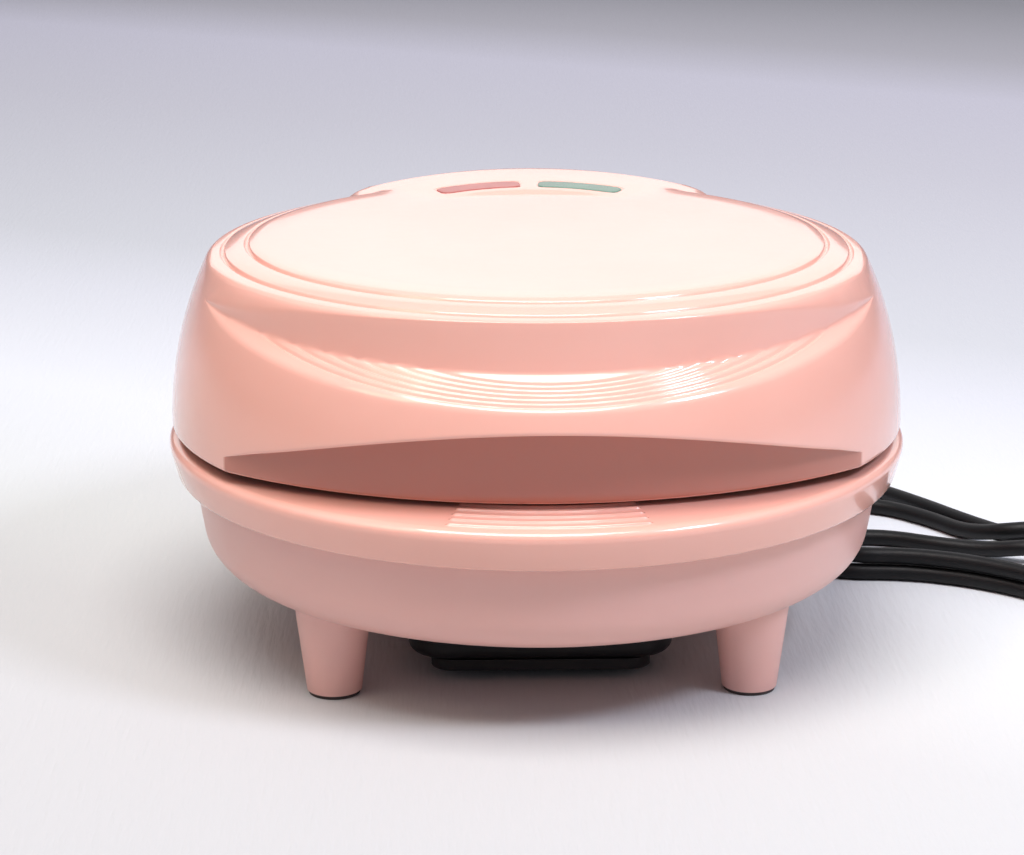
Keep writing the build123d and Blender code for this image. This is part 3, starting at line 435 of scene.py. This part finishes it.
def lid_top(r, azimuth):
    """Height of the top: a flat disc, a sloping band with two ring grooves, and the raised housing."""
    x, y = r * np.sin(azimuth), -r * np.cos(azimuth)
    band = BAND_Z + (BAND_R - r) * (TOP_Z - BAND_Z) / (BAND_R - DISC_R)
    flat = -soft_max(np.full_like(band, -TOP_Z), -band, DISC_SOFT)
    for ring_r in RINGS:
        near = np.clip(1 - np.abs(r - ring_r) / RING_HALF, 0, 1)
        flat = flat - RING_DEPTH * (0.5 - 0.5 * np.cos(math.pi * near))
    outside = soft_max(np.abs(x) - HUMP_HALF, np.hypot(x, y - HUMP_BACK_Y) - HUMP_BACK_R, HUMP_CORNER)
    before = soft_max(HUMP_FRONT_R - r, 0, HUMP_FRONT_SHOULDER)
    fall = HUMP_SLOPE * soft_max(outside, 0, HUMP_SHOULDER) + HUMP_FRONT_SLOPE * before
    fall = fall + FRONT_DROP * (y < 0)
    height = soft_max(flat, crown_height(x, y) - fall, HUMP_FOOT)
    pocket = np.clip((POCKET_GAP - window_distance(x, y)) / POCKET_SIDE, 0, 1)
    return height - POCKET_DEPTH * pocket * (y > 0)


CORNER_TURNS = 3
CORNER_SHARE = 0.45                     # most of a segment's length that one corner may take


def joined(segments, counts, reaches):
    """Sections of segments end to end, each corner turned by a quadratic curve within its reach."""
    start = np.zeros((1, segments[0](np.zeros((1, 1))).shape[1]))
    lengths = [np.maximum(np.linalg.norm(f(start + 1) - f(start), axis=-1), 1e-9) for f in segments]
    spans = [
        np.minimum(np.minimum(before, after) * CORNER_SHARE, reach)
        for before, after, reach in zip(lengths, lengths[1:], reaches)
    ]
    t = np.linspace(0, 1, CORNER_TURNS + 2)[1:-1, None, None]
    rows = []
    for k, segment in enumerate(segments):
        low = spans[k - 1] / lengths[k] if k else start
        high = 1 - spans[k] / lengths[k] if k < len(spans) else start + 1
        share = np.linspace(0, 1, counts[k])[:, None]
        rows.append(segment(low + (high - low) * share))
        if k < len(spans):
            onward = segments[k + 1]
            after = onward(spans[k] / lengths[k + 1])
            rows.append((1 - t) ** 2 * rows[-1][-1:] + 2 * t * (1 - t) * onward(start) + t ** 2 * after)
    return np.concatenate(rows)


def lid_columns():
    """Azimuths from the front, in radians: close at the grip, the housing and the windows' ends."""
    front = np.arange(-83.3, 83.4, 0.7)
    side = np.arange(85, 140, 2.5)
    back = np.arange(140, 180.1, 0.8)
    near = np.array([-0.45, -0.3, -0.15, 0, 0.15, 0.3])
    ends = np.concatenate([180 - WINDOW_START + near, 180 - WINDOW_START - WINDOW_SPAN + near])
    half = np.concatenate([side, back[:-1], ends])
    return np.radians(np.unique(np.round(np.concatenate([front, half, -half, [180]]), 3)))


def set_back(radius, offset, wide):
    """Distance from the body's axis to a cylinder of a radius whose axis stands offset behind it."""
    return -offset * np.cos(wide) + np.sqrt(radius ** 2 - (offset * np.sin(wide)) ** 2)


def ledge_edges(wide, wall_r):
    """Where the grip ledge lies, and the s of its outer edge, of its wall's foot and of its wall's top.

    The edge is found by halving, where the skin passes through the ledge's cone. Round the rest of the
    lid the three run on close together in the skin, and go smoothly to FREE_S at the back.
    """
    low, high = np.full_like(wide, 0.3), np.full_like(wide, 2.0)
    for _ in range(32):
        middle = (low + high) / 2
        place = skin(middle)
        under = place[..., 1] < ledge_height(place[..., 0], wide)
        low, high = np.where(under, middle, low), np.where(under, high, middle)
    edge_s, crease_s = low, skin_at_radius(wall_r)
    cut = (crease_s > edge_s) & (np.abs(wide) < math.pi / 2)
    end_angle = np.abs(wide[cut]).max()
    end_s = edge_s[cut & (np.abs(wide) > end_angle - 1e-6)].mean()
    past = np.clip((np.abs(wide) - end_angle) / (math.radians(FREE_DEGREES) - end_angle), 0, 1)
    free_s = end_s + (FREE_S - end_s) * past ** 2 * (3 - 2 * past)
    free_span = FREE_SPAN_FRONT + FREE_SPAN_GROWTH * np.sqrt(past)
    edge_s = np.where(cut, edge_s, free_s - free_span)
    foot_s = np.where(cut, crease_s, free_s + free_span / 2)
    crease_s = np.where(cut, crease_s, free_s + free_span)
    return cut, edge_s, foot_s, crease_s


def recess_edges(wide, recess_r):
    """Inner radius and height of the recess's roof, height of its lip, and where it has any depth.

    Both heights follow the arch, a circle seen from the front.
    """
    def arch(r):
        return ARCH_Z + np.sqrt(ARCH_R ** 2 - np.minimum(np.abs(r * np.sin(wide)), ARCH_R) ** 2)

    roof_z = np.maximum(arch(recess_r), LID_BASE_Z + ROOF_LOWEST)
    for _ in range(3):
        inner_r = np.minimum(recess_r, skin(skin_at_height(roof_z))[..., 0])
        roof_z = np.maximum(arch(inner_r), LID_BASE_Z + ROOF_LOWEST)
    lip_z = np.maximum(arch(np.full_like(wide, LID_R - LIP_INSET)), LID_BASE_Z + LIP_LOWEST)
    deep = skin(skin_at_height(lip_z))[..., 0] - inner_r > LEAST_DEPTH
    return inner_r, roof_z, np.where(deep, lip_z, roof_z + LIP_LIFT), deep


def top_shares():
    """Radii of the rows on the top, as shares of BAND_R: close at grooves, windows and housing."""
    rows = [BAND_R]
    for ring_r, half, count in ((RINGS[1], 1.0, 10), (RINGS[0], 1.0, 10), (DISC_R, 0.6, 3)):
        rows += list(np.linspace(ring_r + half, ring_r - half, count))
    for side in (1, -1):
        edge = WINDOW_R + side * (WINDOW_HALF + 0.2)
        rows += list(edge + np.array([1.5, 0.5, 0.25, 0, -0.25, -0.5, -1.5]))
    rows += [67.5, 66, 65, 64, 63, 61.5, 59, 52, 42, 30, 18, 8]
    return np.array(rows) / BAND_R


INNER_HEIGHTS = (119.0, 110.0, 97.0, 89.0, 78.0)
INNER_TOP, INNER_TOP_R, INNER_GRIP_Z = 124.6, 84.0, 95


def inner_rows(wide, recess_r, wall_r):
    """Inside of the lid: skin, recess and grip wall, drawn in by the wall's thickness."""
    rows = [stacked(np.full_like(wide, INNER_TOP_R), INNER_TOP)]
    for z in INNER_HEIGHTS:
        shell = np.minimum(recess_r, skin(skin_at_height(np.full_like(wide, z)))[..., 0])
        if z > INNER_GRIP_Z:
            shell = np.minimum(shell, wall_r)
        rows.append(stacked(shell - LID_WALL, z))
    return rows


def lid_rows(azimuth):
    """Sections of the lid, one for each azimuth, from the inside round the rim to the top's middle."""
    wide = azimuth[None, :]
    wall_r = set_back(WALL_R, WALL_Y, wide)
    recess_r = np.where(np.cos(wide) > 0, set_back(RECESS_R, RECESS_Y, wide), 2 * LID_R)
    cut, edge_s, foot_s, crease_s = ledge_edges(wide, wall_r)
    foot_z = ledge_height(wall_r, wide) + ledge_relief(wall_r, wall_r, wide)
    inner_r, roof_z, lip_z, deep = recess_edges(wide, recess_r)
    lip_s = skin_at_height(lip_z)
    hump_r = -HUMP_BACK_Y * np.cos(wide)
    hump_r = hump_r + np.sqrt(np.maximum(HUMP_BACK_R ** 2 - (HUMP_BACK_Y * np.sin(wide)) ** 2, 0))
    rim_r = np.where(np.cos(wide) < 0, np.maximum(hump_r, BAND_R), BAND_R)
    rim_s = skin_at_radius(rim_r)
    rim_z = skin(rim_s)[..., 1]
    shares = top_shares()

    def underside(t):
        return stacked(np.minimum(recess_r, LID_R) - LID_WALL * (1 - t), LID_BASE_Z)

    def recess_wall(t):
        z = LID_BASE_Z + t * (roof_z - LID_BASE_Z)
        return stacked(np.minimum(recess_r, skin(skin_at_height(z))[..., 0]), z)

    def roof(t):
        z = roof_z + t * (lip_z - roof_z)
        straight = inner_r + t * (skin(lip_s)[..., 0] - inner_r)
        return stacked(np.where(deep, straight, skin(skin_at_height(z))[..., 0]), z)

    def side(t):
        return skin(lip_s + t * (edge_s - lip_s))

    def ledge(t):
        edge = skin(edge_s)
        r = edge[..., 0] + t * (wall_r - edge[..., 0])
        z = ledge_height(r, wide) + np.clip(t / RELIEF_START, 0, 1) * ledge_relief(r, wall_r, wide)
        return np.where(cut[..., None], stacked(r, z), skin(edge_s + t * (foot_s - edge_s)))

    def grip_wall(t):
        z = foot_z + t * (skin(crease_s)[..., 1] - foot_z)
        return np.where(cut[..., None], stacked(wall_r, z), skin(foot_s + t * (crease_s - foot_s)))

    def shoulder(t):
        return skin(crease_s + t * (rim_s - crease_s))

    def rear_wall(t):
        return stacked(rim_r, rim_z + t * (lid_top(rim_r, wide) - rim_z))

    def top(t):
        share = np.interp(t, np.linspace(0, 1, len(shares)), shares)
        outer = np.clip((share - REAR_SHARE) / (1 - REAR_SHARE), 0, 1)
        r = share * BAND_R + outer * (rim_r - BAND_R)
        return stacked(r, lid_top(r, wide))

    segments = [underside, recess_wall, roof, side, ledge, grip_wall, shoulder, rear_wall, top]
    counts = [2, 8, 5, 13, 48, 7, 8, 4, len(shares)]
    outside = joined(segments, counts, [1.2, 0.7, 1.3, 1.4, 0.9, 2.8, 0.8, 2.2])
    return np.concatenate([*inner_rows(wide, recess_r, wall_r), outside])


def grid_faces(rows, columns, close_rows):
    """Quads of a grid whose columns go round; close_rows joins the last row to the first."""
    row = np.arange(rows if close_rows else rows - 1)[:, None]
    column = np.arange(columns)[None, :]
    here, onward = row * columns, (row + 1) % rows * columns
    right = (column + 1) % columns
    corners = [here + column, here + right, onward + right, onward + column]
    return np.stack(corners, -1).reshape(-1, 4)


def volume_of(vertices, quads):
    """Signed volume inside a closed set of quads."""
    a, b, c, d = (vertices[quads[:, k]] for k in range(4))
    first = np.einsum("ij,ij->i", a, np.cross(b, c))
    return (first + np.einsum("ij,ij->i", a, np.cross(c, d))).sum() / 6


def grid_piece(name, places, body, slot_name, poles=False):
    """Closed piece from a grid of places: rows along it, columns round it; poles close its two ends."""
    rows, columns = places.shape[:2]
    vertices = places.reshape(-1, 3)
    quads = grid_faces(rows, columns, not poles)
    extra = np.zeros((0, 4), int)
    if poles:
        vertices = np.r_[vertices, places[0].mean(0)[None], places[-1].mean(0)[None]]
        near, here = (np.arange(columns) + 1) % columns, np.arange(columns)
        first, last = (np.full_like(here, len(vertices) - k) for k in (2, 1))
        far = (rows - 1) * columns
        extra = np.r_[np.c_[first, near, here, here], np.c_[last, far + here, far + near, far + near]]
    every = np.r_[quads, extra]
    if volume_of(vertices, every) < 0:
        quads, extra = quads[:, ::-1], extra[:, [1, 0, 2, 3]]
    faces = quads.tolist() + extra[:, :3].tolist()
    return mesh_piece(name, vertices, faces, body, slot_name)


def turned(name, sections, azimuth, body, slot_name, poles):
    """Piece whose sections of radius and height stand at their azimuths round the body's axis."""
    r, z = sections[..., 0], sections[..., 1]
    places = np.stack([r * np.sin(azimuth), -r * np.cos(azimuth), z], -1)
    return grid_piece(name, places, body, slot_name, poles)


def add_lid():
    """Moulded lid in one skin: side, grip ledge, finger recess, ringed top and raised housing."""
    azimuth = lid_columns()
    lid = turned("lid_skin", lid_rows(azimuth), azimuth, "lid", "pink_gloss", True)
    # marks where the painted shade of the recess goes
    mark_recess_shade(lid.data)
    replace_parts(lid, "lid_shell")


def mark_recess_shade(mesh):
    """Attribute that masks the painted shade: 1 at points on the recess's cylinder inside its arch, 0 elsewhere.
    """
    places = np.empty(3 * len(mesh.vertices), np.float32)
    mesh.vertices.foreach_get("co", places)
    x, y, z = ((places.reshape(-1, 3) - [0, AXIS_Y, 0]) / MM).T
    on_wall = np.abs(np.hypot(x, y - RECESS_Y) - RECESS_R) < 0.1
    under_arch = np.hypot(x, z - ARCH_Z) < ARCH_R + 0.05
    mark = mesh.attributes.new(RECESS_SHADE_MARK, "FLOAT", "POINT")
    mark.data.foreach_set("value", (on_wall & under_arch).astype(np.float32))


def add_lens(name, side, slot_name):
    """Lamp window: a rounded oblong bent round the axis, crowned like the housing, with a soft edge."""
    half = math.radians(WINDOW_SPAN / 2) * WINDOW_R
    turn = np.linspace(0, 2 * math.pi, 97)[:-1]
    long_way, short_way = half - WINDOW_ROUND, WINDOW_HALF - WINDOW_ROUND
    along = np.clip(4 * np.cos(turn), -1, 1) * long_way + WINDOW_ROUND * np.cos(turn)
    across = np.clip(4 * np.sin(turn), -1, 1) * short_way + WINDOW_ROUND * np.sin(turn)
    shares = np.r_[0.3, 1, 1, 0.985, 0.95, np.linspace(0.88, 0.08, 8)][:, None]
    drops = np.r_[3.0, 3.0, 0.45, 0.12, 0.02, np.zeros(8)][:, None]
    r = WINDOW_R + across * shares
    angle = math.radians(WINDOW_START + WINDOW_SPAN / 2) + along * shares / WINDOW_R
    x, y = side * r * np.sin(angle), r * np.cos(angle)
    places = np.stack([x, y, crown_height(x, y) - drops], -1)
    lens = grid_piece(name, places, "lid", slot_name, poles=True)
    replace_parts(lens, name.replace("_window", "_lens"))


def hinge_block(name, radius_at, x_from, x_to, body, slot_name, edge=0.9):
    """Block bored for the hinge pin, with an outer radius for each angle and softened ends."""
    angle = np.radians(np.arange(0, 360, 1.5))
    outer = radius_at(np.degrees(angle))
    turn = np.linspace(0, math.pi / 2, 5)
    near_x, near_in = x_from + edge * (1 - np.cos(turn)), edge * (1 - np.sin(turn))
    x = np.r_[x_from, near_x, x_to + x_from - near_x[::-1], x_to]
    inset = np.r_[0, near_in, near_in[::-1], 0][:, None]
    r = outer[None, :] - inset
    r[[0, -1]] = PIN_R
    depth = HINGE_Y + r * np.cos(angle)
    height = HINGE_Z + r * np.sin(angle)
    places = np.stack([x[:, None] + 0 * r, depth, height], -1)
    return grid_piece(name, places, body, slot_name)


# Outlines round the hinge pin: distances in mm, angles in degrees from straight back and upwards.

WEB_LEAN, WEB_TOP, WEB_FRONT = 0.4607, 52.0, 24.0
WEB_BACK_END, WEB_END = 150, 176
HEEL_R, HEEL_HUB_R, HEEL_FROM, HEEL_TO = 9.6, 5.8, 311, 336
NECK_FRONT, NECK_UNDER, NECK_LEAN, NECK_FROM, NECK_TO = 14.4, 7.32, 0.36, 194, 287
ARM_HALF, EAR_GAP, EAR_T = 26.5, 0.5, 7.0


def flat_side(distance, share):
    """Radius to a flat side at a distance; share is the part of the radius that goes towards it."""
    return distance / np.maximum(share, 0.02)


def knuckle_radius(degrees):
    """Barrel of the lid's hinge and, from the back up to the lid, the web that carries it."""
    angle = np.radians(degrees)
    back = flat_side(BARREL_R, np.cos(angle) + WEB_LEAN * np.sin(angle))
    back = np.where(degrees < WEB_BACK_END, back, 99)
    web = np.minimum(back, flat_side(WEB_TOP, np.sin(angle)))
    web = np.minimum(web, flat_side(WEB_FRONT, -np.cos(angle)))
    return np.where(degrees < WEB_END, np.maximum(web, BARREL_R), BARREL_R)


def heel_radius(degrees):
    """Heel that meets the collar when the lid is fully open."""
    return np.where((degrees > HEEL_FROM) & (degrees < HEEL_TO), HEEL_R, HEEL_HUB_R)


def ear_radius(degrees):
    """Ear of the collar: a round eye with a neck that runs down to the collar."""
    angle = np.radians(degrees)
    front = flat_side(NECK_FRONT, -np.cos(angle))
    under = flat_side(NECK_UNDER, -np.sin(angle) + NECK_LEAN * np.cos(angle))
    neck = np.maximum(np.minimum(front, under), BARREL_R)
    return np.where((degrees > NECK_FROM) & (degrees < NECK_TO), neck, BARREL_R)


def add_hinge():
    """Knuckle and stop heel of the lid, and the two ears of the collar."""
    for piece in (
        hinge_block("hinge_knuckle", knuckle_radius, -ARM_HALF, ARM_HALF, "lid", "pink_gloss"),
        hinge_block("hinge_stop", heel_radius, -ARM_HALF / 2, ARM_HALF / 2, "lid", "pink_gloss", 0.5),
    ):
        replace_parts(piece, "lid_shell")
    for name, side in (("hinge_ear_left", -1), ("hinge_ear_right", 1)):
        ends = sorted((side * (ARM_HALF + EAR_GAP), side * (ARM_HALF + EAR_GAP + EAR_T)))
        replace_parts(hinge_block(name, ear_radius, *ends, "base", "pink_gloss"), "base_collar")


# The collar: radius, height and how far each corner is softened, in mm.

COLLAR_OUTLINE = (
    (113.0, 55.5, 1.3), (116.0, 67.2, 3.4), (95.2, 69.8, 0.8), (94.0, 68.6, 0.4), (94.0, 67.0, 0.2),
    (87.3, 67.0, 0.3), (87.3, 64.6, 0.3), (96.6, 64.6, 0.3), (112.2, 64.2, 0.3), (110.4, 58.1, 0.3),
    (103.9, 58.1, 0.3), (103.9, 55.5, 0.3),
)
RIBS, RIB_R, RIB_PITCH, RIB_HALF, RIB_HEIGHT = 5, 97.5, 3.4, 0.62, 0.6
RIB_REACH = 15.0                        # degrees to either side of the front
RIB_SIDE, RIB_END = 0.3, 0.6


def softened(outline, turns=5):
    """Closed outline with each corner turned by a quadratic curve."""
    points = np.array(outline)[:, :2]
    before, after = np.roll(points, 1, 0) - points, np.roll(points, -1, 0) - points
    reach = np.array(outline)[:, 2:]
    start = points + before * reach / np.linalg.norm(before, axis=1)[:, None]
    end = points + after * reach / np.linalg.norm(after, axis=1)[:, None]
    t = np.linspace(0, 1, turns)[:, None, None]
    curve = (1 - t) ** 2 * start + 2 * t * (1 - t) * points + t ** 2 * end
    return curve.transpose(1, 0, 2)


def add_collar():
    """Glossy band of the base: one closed outline turned round the axis, with raised lines in front."""
    corners = softened(COLLAR_OUTLINE)
    below, above = corners[:2].reshape(-1, 2), corners[2:].reshape(-1, 2)
    slope = below[-1] + (above[0] - below[-1]) * np.linspace(0, 1, 96)[1:-1, None]
    section = np.concatenate([below, slope, above])
    fine = np.r_[np.arange(-18, -12, 0.3), np.arange(-12, 12, 1.5), np.arange(12, 18.1, 0.3)]
    degrees = np.unique(np.round(np.r_[fine, np.arange(18, 342, 2.4)], 2))
    azimuth = np.radians(degrees)
    sections = np.repeat(section[:, None, :], len(azimuth), 1)
    on_top = np.zeros(len(section))
    on_top[len(below):len(below) + len(slope)] = 1
    front = np.where(degrees > 180, degrees - 360, degrees)
    edge = (RIB_REACH - np.abs(front)) * math.radians(1) * RIB_R
    for k in range(RIBS):
        away = np.abs(section[:, 0] - RIB_R - RIB_PITCH * k)[:, None]
        rib = np.clip((RIB_HALF - away) / RIB_SIDE, 0, 1) * np.clip(edge / RIB_END, 0, 1)[None, :]
        sections[..., 1] += RIB_HEIGHT * rib * on_top[:, None]
    collar = turned("collar_band", sections, azimuth, "base", "pink_gloss", False)
    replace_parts(collar, "base_collar")


add_lid()
add_lens("red_window", -1, "red_window")
add_lens("green_window", 1, "green_window")
add_hinge()
add_collar()

# The cord, in mm from the body's axis.

CORD_R = 2.8
SLEEVE_END = (36.0, 134.0, 41.0)
LEAD_POINTS = (
    (36.0, 162.0, 41.0),
    (49.5, 185.5, 19.0),
    (84.8, 183.8, 2.8),
    (112.1, 155.1, 2.8),
    (139.3, 122.4, 2.8),
)
COIL_START = (154.6, 97.5)
COIL_LOOPS = 2
COIL_WAIST = ((185.9, 71.2, -1.5), (179.8, 67.3, 10.5))
COIL_LOBE = (
    (208.2, 79.6, 8.5),
    (247.2, 43.5, -91.5),
    (204.0, -2.3, 178.5),
    (161.6, 19.8, 138.5),
    (115.1, 39.0, 178.5),
)
COIL_END = (80.1, 77.9)
COIL_BACK = (116.0, 114.0)
COIL_END_STEP = (17.5, -20.5)
COIL_BACK_STEP = (1.0, -38.0)
COIL_CLOSE = ((150.4, 88.1, -58.5), (149.7, 64.1, -21.5))
COIL_LAYER = 5.7
COIL_STRAIGHT = 6.0
PLUG_BACK = (188.4, 51.1, 7.0)


def tangent_corners(start, heading, end, arrival):
    """The two points where a pair of tangent arcs from start to end turns."""
    chord = end - start
    both = heading + arrival
    bend = 2 * (1 - heading @ arrival)
    along = chord @ both
    if bend < 1e-9:
        reach = chord @ chord / (4 * chord @ arrival)
    else:
        reach = (math.sqrt(along ** 2 + bend * (chord @ chord)) - along) / bend
    return [start + heading * reach, end - arrival * reach]


def coil_points():
    """Control points of the coil: the corners between its stops, loop after loop."""
    here = np.array([*COIL_START, CORD_R])
    heading = here - np.array(LEAD_POINTS[-1])
    heading = heading / np.linalg.norm(heading)
    here = here + heading * COIL_STRAIGHT
    stops = []
    for loop in range(COIL_LOOPS):
        end = [place + loop * step for place, step in zip(COIL_END, COIL_END_STEP)]
        back = [place + loop * step for place, step in zip(COIL_BACK, COIL_BACK_STEP)]
        stops += [(*stop, loop) for stop in (COIL_WAIST[loop], *COIL_LOBE, (*end, 90.0))]
        stops += [(*back, 0.0, 0), (*COIL_CLOSE[loop], 0)]
    points = []
    for x, y, degrees, level in stops:
        place = np.array([x, y, CORD_R + level * COIL_LAYER])
        arrival = np.array([math.cos(math.radians(degrees)), math.sin(math.radians(degrees)), 0])
        points += tangent_corners(here, heading, place, arrival)
        here, heading = place, arrival
    plug = np.array(PLUG_BACK)
    level_way = np.array([1.0, 0, 0])
    before = plug - level_way * COIL_STRAIGHT
    return points + tangent_corners(here, heading, before, level_way) + [plug]


def add_cord():
    """The mains cord: one smooth round curve from the sleeve to the plug."""
    points = [np.array(SLEEVE_END), *[np.array(p) for p in LEAD_POINTS], *coil_points()]
    places = np.array(points) * MM + np.array([0, AXIS_Y, 0])
    data = bpy.data.curves.new("power_cord", "CURVE")
    data.dimensions = "3D"
    spline = data.splines.new("NURBS")
    spline.points.add(len(places) - 1)
    spline.points.foreach_set("co", np.c_[places, np.ones(len(places))].ravel())
    spline.order_u = 3
    spline.use_endpoint_u = True
    spline.resolution_u = 12
    data.bevel_depth = CORD_R * MM
    data.bevel_resolution = 5
    data.use_fill_caps = True
    cord = bpy.data.objects.new("power_cord", data)
    bpy.context.scene.collection.objects.link(cord)
    dress(cord, "base", "cord_rubber")
    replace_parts(cord, "power_cord_lead", "power_cord_coil")


add_cord()

# Floor and light.

# Painted light and shade on the paper, by a slanting distance from the front between two distances in metres.
PAPER_SLANT = (0.6, 1, 0)
PAPER_NEAR, PAPER_FAR = -0.5, 1.9
PAPER_LIGHT_TONES = (
    (0.0, (0.45, 0.45, 0.46)),
    (0.18, (0.54, 0.55, 0.555)),
    (0.217, (0.60, 0.62, 0.62)),
    (0.283, (0.68, 0.70, 0.735)),
    (0.36, (0.62, 0.635, 0.68)),
    (0.41, (0.56, 0.575, 0.61)),
    (0.60, (0.56, 0.56, 0.62)),
    (0.742, (0.58, 0.575, 0.66)),
    (0.833, (0.45, 0.445, 0.49)),
    (1.0, (0.34, 0.34, 0.37)),
)
FLOOR_HALF, FLOOR_FRONT, FLOOR_BACK, FLOOR_BEND_R, FLOOR_TOP = 3.2, -3.0, 2.6, 0.8, 2.4


def paper():
    """Pale ribbed paper with painted light and shade: its tone follows a slanting distance from the front."""
    material, tree, shader, coords = new_material("paper")
    slant = tree.nodes.new("ShaderNodeVectorMath")
    slant.operation = "DOT_PRODUCT"
    slant.inputs[1].default_value = PAPER_SLANT
    tree.links.new(coords, slant.inputs[0])
    depth = tree.nodes.new("ShaderNodeMapRange")
    depth.inputs["From Min"].default_value = PAPER_NEAR
    depth.inputs["From Max"].default_value = PAPER_FAR
    tree.links.new(slant.outputs["Value"], depth.inputs["Value"])
    # painted light and shade: the ramp of tones along the slanting distance
    tone = ramp(tree, depth.outputs["Result"], PAPER_LIGHT_TONES[0][1], PAPER_LIGHT_TONES[-1][1], 0.0, 1.0)
    for place, color in PAPER_LIGHT_TONES[1:-1]:
        tone.node.color_ramp.elements.new(place).color = (*color, 1)
    tree.links.new(tone, shader.inputs["Base Color"])
    shader.inputs["Roughness"].default_value = 0.8
    shader.inputs["Specular IOR Level"].default_value = 0.2
    bump(tree, shader, noise(tree, coords, 500, 2, 0.5, (1, 0.12, 1)), 0.0003)
    return material


def add_floor():
    """Pale paper floor that goes up far behind: flat, a quarter turn, then upright."""
    turn = np.linspace(0, math.pi / 2, 17)
    end = FLOOR_BACK + FLOOR_BEND_R
    flat = np.linspace(-0.6, FLOOR_BACK, 8)
    y = np.r_[FLOOR_FRONT, flat, FLOOR_BACK + FLOOR_BEND_R * np.sin(turn[1:]), end]
    z = np.r_[0, np.zeros(8), FLOOR_BEND_R * (1 - np.cos(turn[1:])), FLOOR_TOP]
    count = len(y)
    left = np.c_[np.full(count, -FLOOR_HALF), y, z]
    right = np.c_[np.full(count, FLOOR_HALF), y, z]
    faces = [(k, count + k, count + k + 1, k + 1) for k in range(count - 1)]
    mesh = bpy.data.meshes.new("floor")
    mesh.from_pydata(np.r_[left, right].tolist(), [], faces)
    mesh.polygons.foreach_set("use_smooth", [True] * len(mesh.polygons))
    mesh.materials.append(paper())
    floor = bpy.data.objects.new("floor", mesh)
    bpy.context.scene.collection.objects.link(floor)


add_floor()
add_light("overhead", (-0.1, -0.46, 1.5), (0, 0, 0.08), (1.1, 0.8), 25, (1.0, 0.96, 0.93))
add_light("window_back", (0.15, 1.75, 0.85), (0, 0, 0.2), (2.4, 0.9), 7, (1.0, 0.96, 0.945))
add_light("fill_left", (-0.85, -0.6, 1.15), (0, 0, 0.1), (0.5, 0.5), 2.5, (1.0, 0.74, 0.50))
add_light("window_right", (0.85, -0.6, 1.15), (0, 0, 0.1), (0.3, 0.3), 10, (0.80, 0.84, 1.0))


def add_room():
    """Light of the room: dim at the horizon and bright overhead, by the height of each direction."""
    world = bpy.data.worlds.new("room")
    world.use_nodes = True
    tree = world.node_tree
    split = tree.nodes.new("ShaderNodeSeparateXYZ")
    tree.links.new(tree.nodes.new("ShaderNodeTexCoord").outputs["Generated"], split.inputs["Vector"])
    sky = ramp(tree, split.outputs["Z"], (0.26, 0.245, 0.28), (0.80, 0.82, 0.90), 0.10, 0.75)
    tree.links.new(sky, tree.nodes["Background"].inputs["Color"])
    tree.nodes["Background"].inputs["Strength"].default_value = 0.6
    bpy.context.scene.world = world


add_room()
bpy.context.scene.view_settings.view_transform = "Standard"
